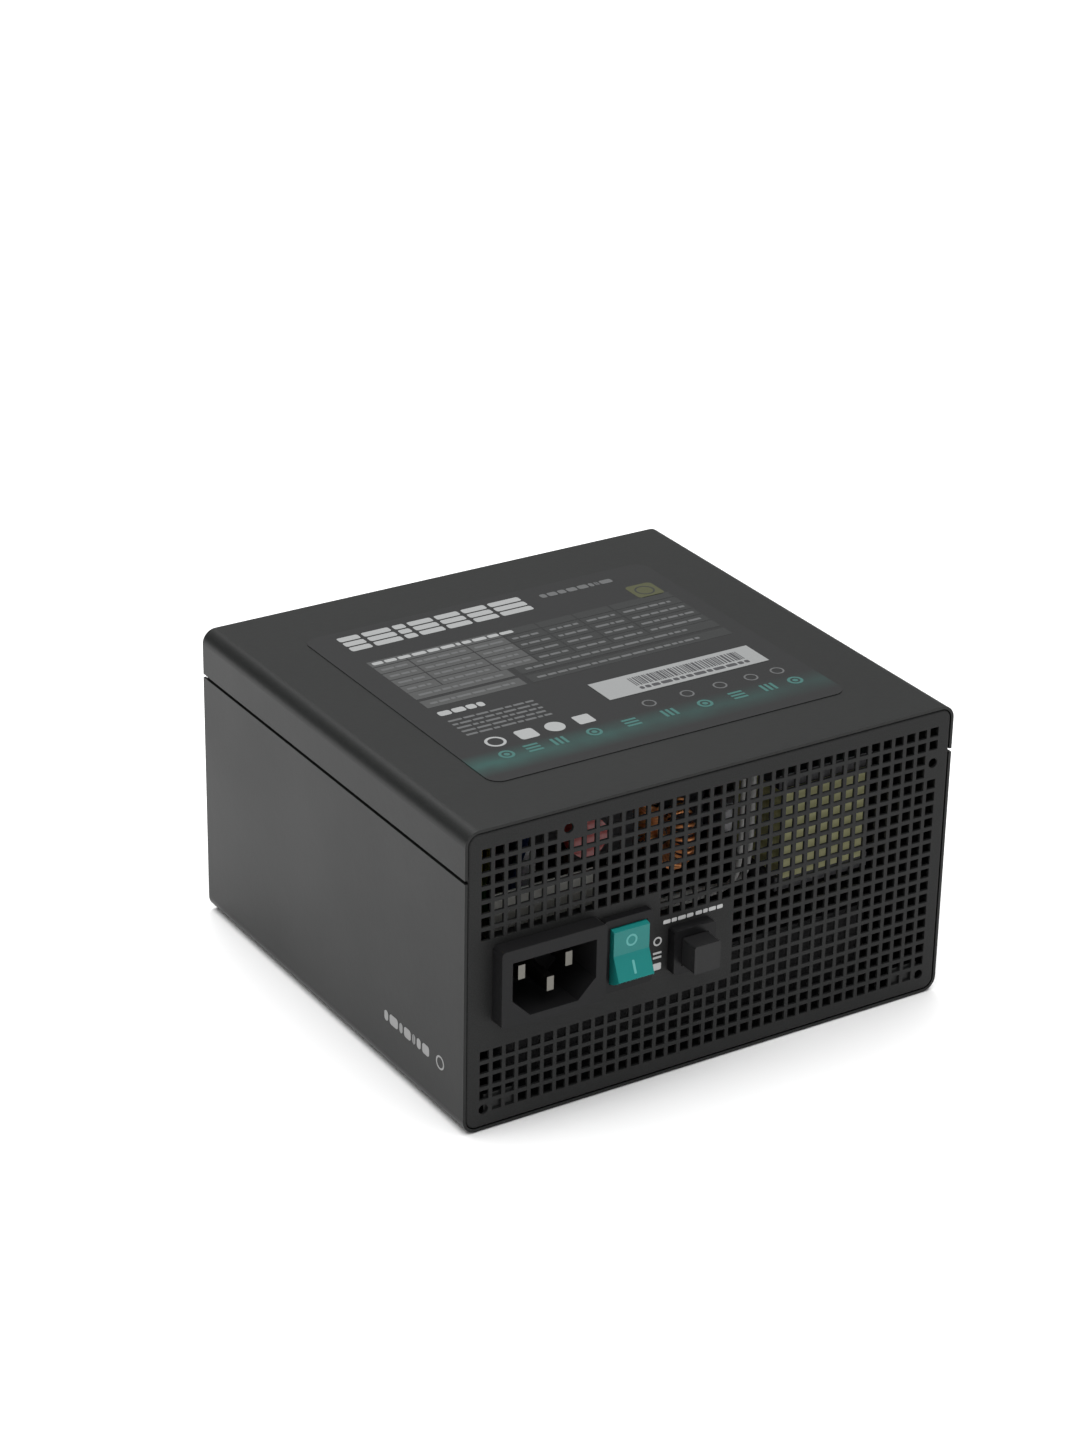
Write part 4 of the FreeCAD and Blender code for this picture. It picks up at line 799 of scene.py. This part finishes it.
def tube(form, points, radius, sides):
    """A closed tube along a list of points."""
    rows = []
    count = len(points)
    normal = Vector((0, 0, 1))
    for index, point in enumerate(points):
        ahead = points[min(index + 1, count - 1)] - points[max(index - 1, 0)]
        ahead.normalize()
        normal = (normal - ahead * normal.dot(ahead)).normalized()
        side = ahead.cross(normal)
        rows.append([
            form.verts.new(point + (normal * math.cos(turn) + side * math.sin(turn)) * radius)
            for turn in (2 * math.pi * step / sides for step in range(sides))
        ])
    skin(form, rows)


def choke_windings():
    """Two windings of enamelled wire wound round the ring core."""
    low, high = box_of("choke_core")
    centre = (low + high) / 2
    section = (high.x - low.x) / 2
    ring_radius = (high.y - low.y) / 2 - section
    wire = 0.5 * MM
    turns = 13
    steps = turns * 16
    span = 124

    def build(form):
        for start in (-62, 118):
            points = []
            for index in range(steps + 1):
                share = index / steps
                along = math.radians(start + span * share)
                around = 2 * math.pi * turns * share
                reach = section + wire + 0.1 * MM
                radius = ring_radius + reach * math.cos(around)
                points.append(centre + Vector((reach * math.sin(around),
                                               radius * math.cos(along),
                                               radius * math.sin(along))))
            tube(form, points, wire, 8)

    obj = piece("choke_turns", mesh_from("choke_turns", build, True), COPPER, "case")
    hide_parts("choke_windings")


def key_spring():
    """The coil spring behind the square button."""
    low, high = box_of("mode_spring")
    wire = 0.3 * MM
    turns = 4
    centre = (low + high) / 2
    radius = (high.x - low.x) / 2 - wire
    length = high.y - low.y
    steps = turns * 24

    def build(form):
        points = []
        for index in range(steps + 1):
            share = index / steps
            around = 2 * math.pi * turns * share
            along = low.y + wire + share * (length - 2 * wire)
            points.append(Vector((centre.x + radius * math.cos(around), along,
                                  centre.z + radius * math.sin(around))))
        tube(form, points, wire, 10)

    obj = piece("key_spring", mesh_from("key_spring", build, True), SPRING_STEEL, "case")
    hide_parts("mode_spring")
    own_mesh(obj)


capacitors()
choke_windings()
key_spring()


# Floor, light and camera

def floor():
    """A plain pale floor just under the case."""
    mesh = bpy.data.meshes.new("floor")
    reach = 6.0
    drop = -0.3 * MM
    corners = [(-reach, -reach, drop), (reach, -reach, drop), (reach, reach, drop),
               (-reach, reach, drop)]
    mesh.from_pydata(corners, [], [(0, 1, 2, 3)])
    obj = bpy.data.objects.new("floor", mesh)
    bpy.context.scene.collection.objects.link(obj)
    assign(obj, surface("pale_floor", (0.93, 0.93, 0.93), 0.7, variation=0.01, patch=1.0,
                        grain=20.0, depth=0.0))


def area_light(name, place, target, width, height, power):
    light = bpy.data.lights.new(name, "AREA")
    light.shape = "RECTANGLE"
    light.size = width
    light.size_y = height
    light.energy = power
    obj = bpy.data.objects.new(name, light)
    obj.location = place
    aim = Vector(target) - Vector(place)
    obj.rotation_euler = aim.to_track_quat("-Z", "Y").to_euler()
    bpy.context.scene.collection.objects.link(obj)


def lighting():
    """A large soft light overhead, three weak ones around, and a dim even surround."""
    world = bpy.data.worlds.new("studio")
    world.use_nodes = True
    background = world.node_tree.nodes["Background"]
    background.inputs["Color"].default_value = (1, 1, 1, 1)
    background.inputs["Strength"].default_value = 0.22
    bpy.context.scene.world = world
    middle = (0, 0, 0.04)
    area_light("top", (-0.1, 0.2, 2.0), middle, 3.0, 3.0, 100)
    area_light("far", (1.0, 1.85, 1.0), middle, 1.8, 1.0, 1.5)
    area_light("left", (-1.7, 0.2, 0.6), middle, 1.2, 0.8, 1.0)
    area_light("rear", (0.5, -1.9, 1.2), middle, 1.4, 1.4, 6)


def camera():
    """The view of the left side, the rear face and the label."""
    data = bpy.data.cameras.new("camera")
    data.lens = 91.5
    data.sensor_width = 36
    obj = bpy.data.objects.new("camera", data)
    bpy.context.scene.collection.objects.link(obj)
    place = Vector((-0.48367, -0.74883, 0.49523))
    target = Vector((-0.0014, 0.0133, 0.0649))
    roll = math.radians(1.05)
    aim = (target - place).to_track_quat("-Z", "Y").to_matrix().to_4x4()
    obj.matrix_world = Matrix.Translation(place) @ aim @ Matrix.Rotation(roll, 4, "Z")
    bpy.context.scene.camera = obj


floor()
lighting()
camera()
bpy.context.scene.view_settings.view_transform = "Standard"
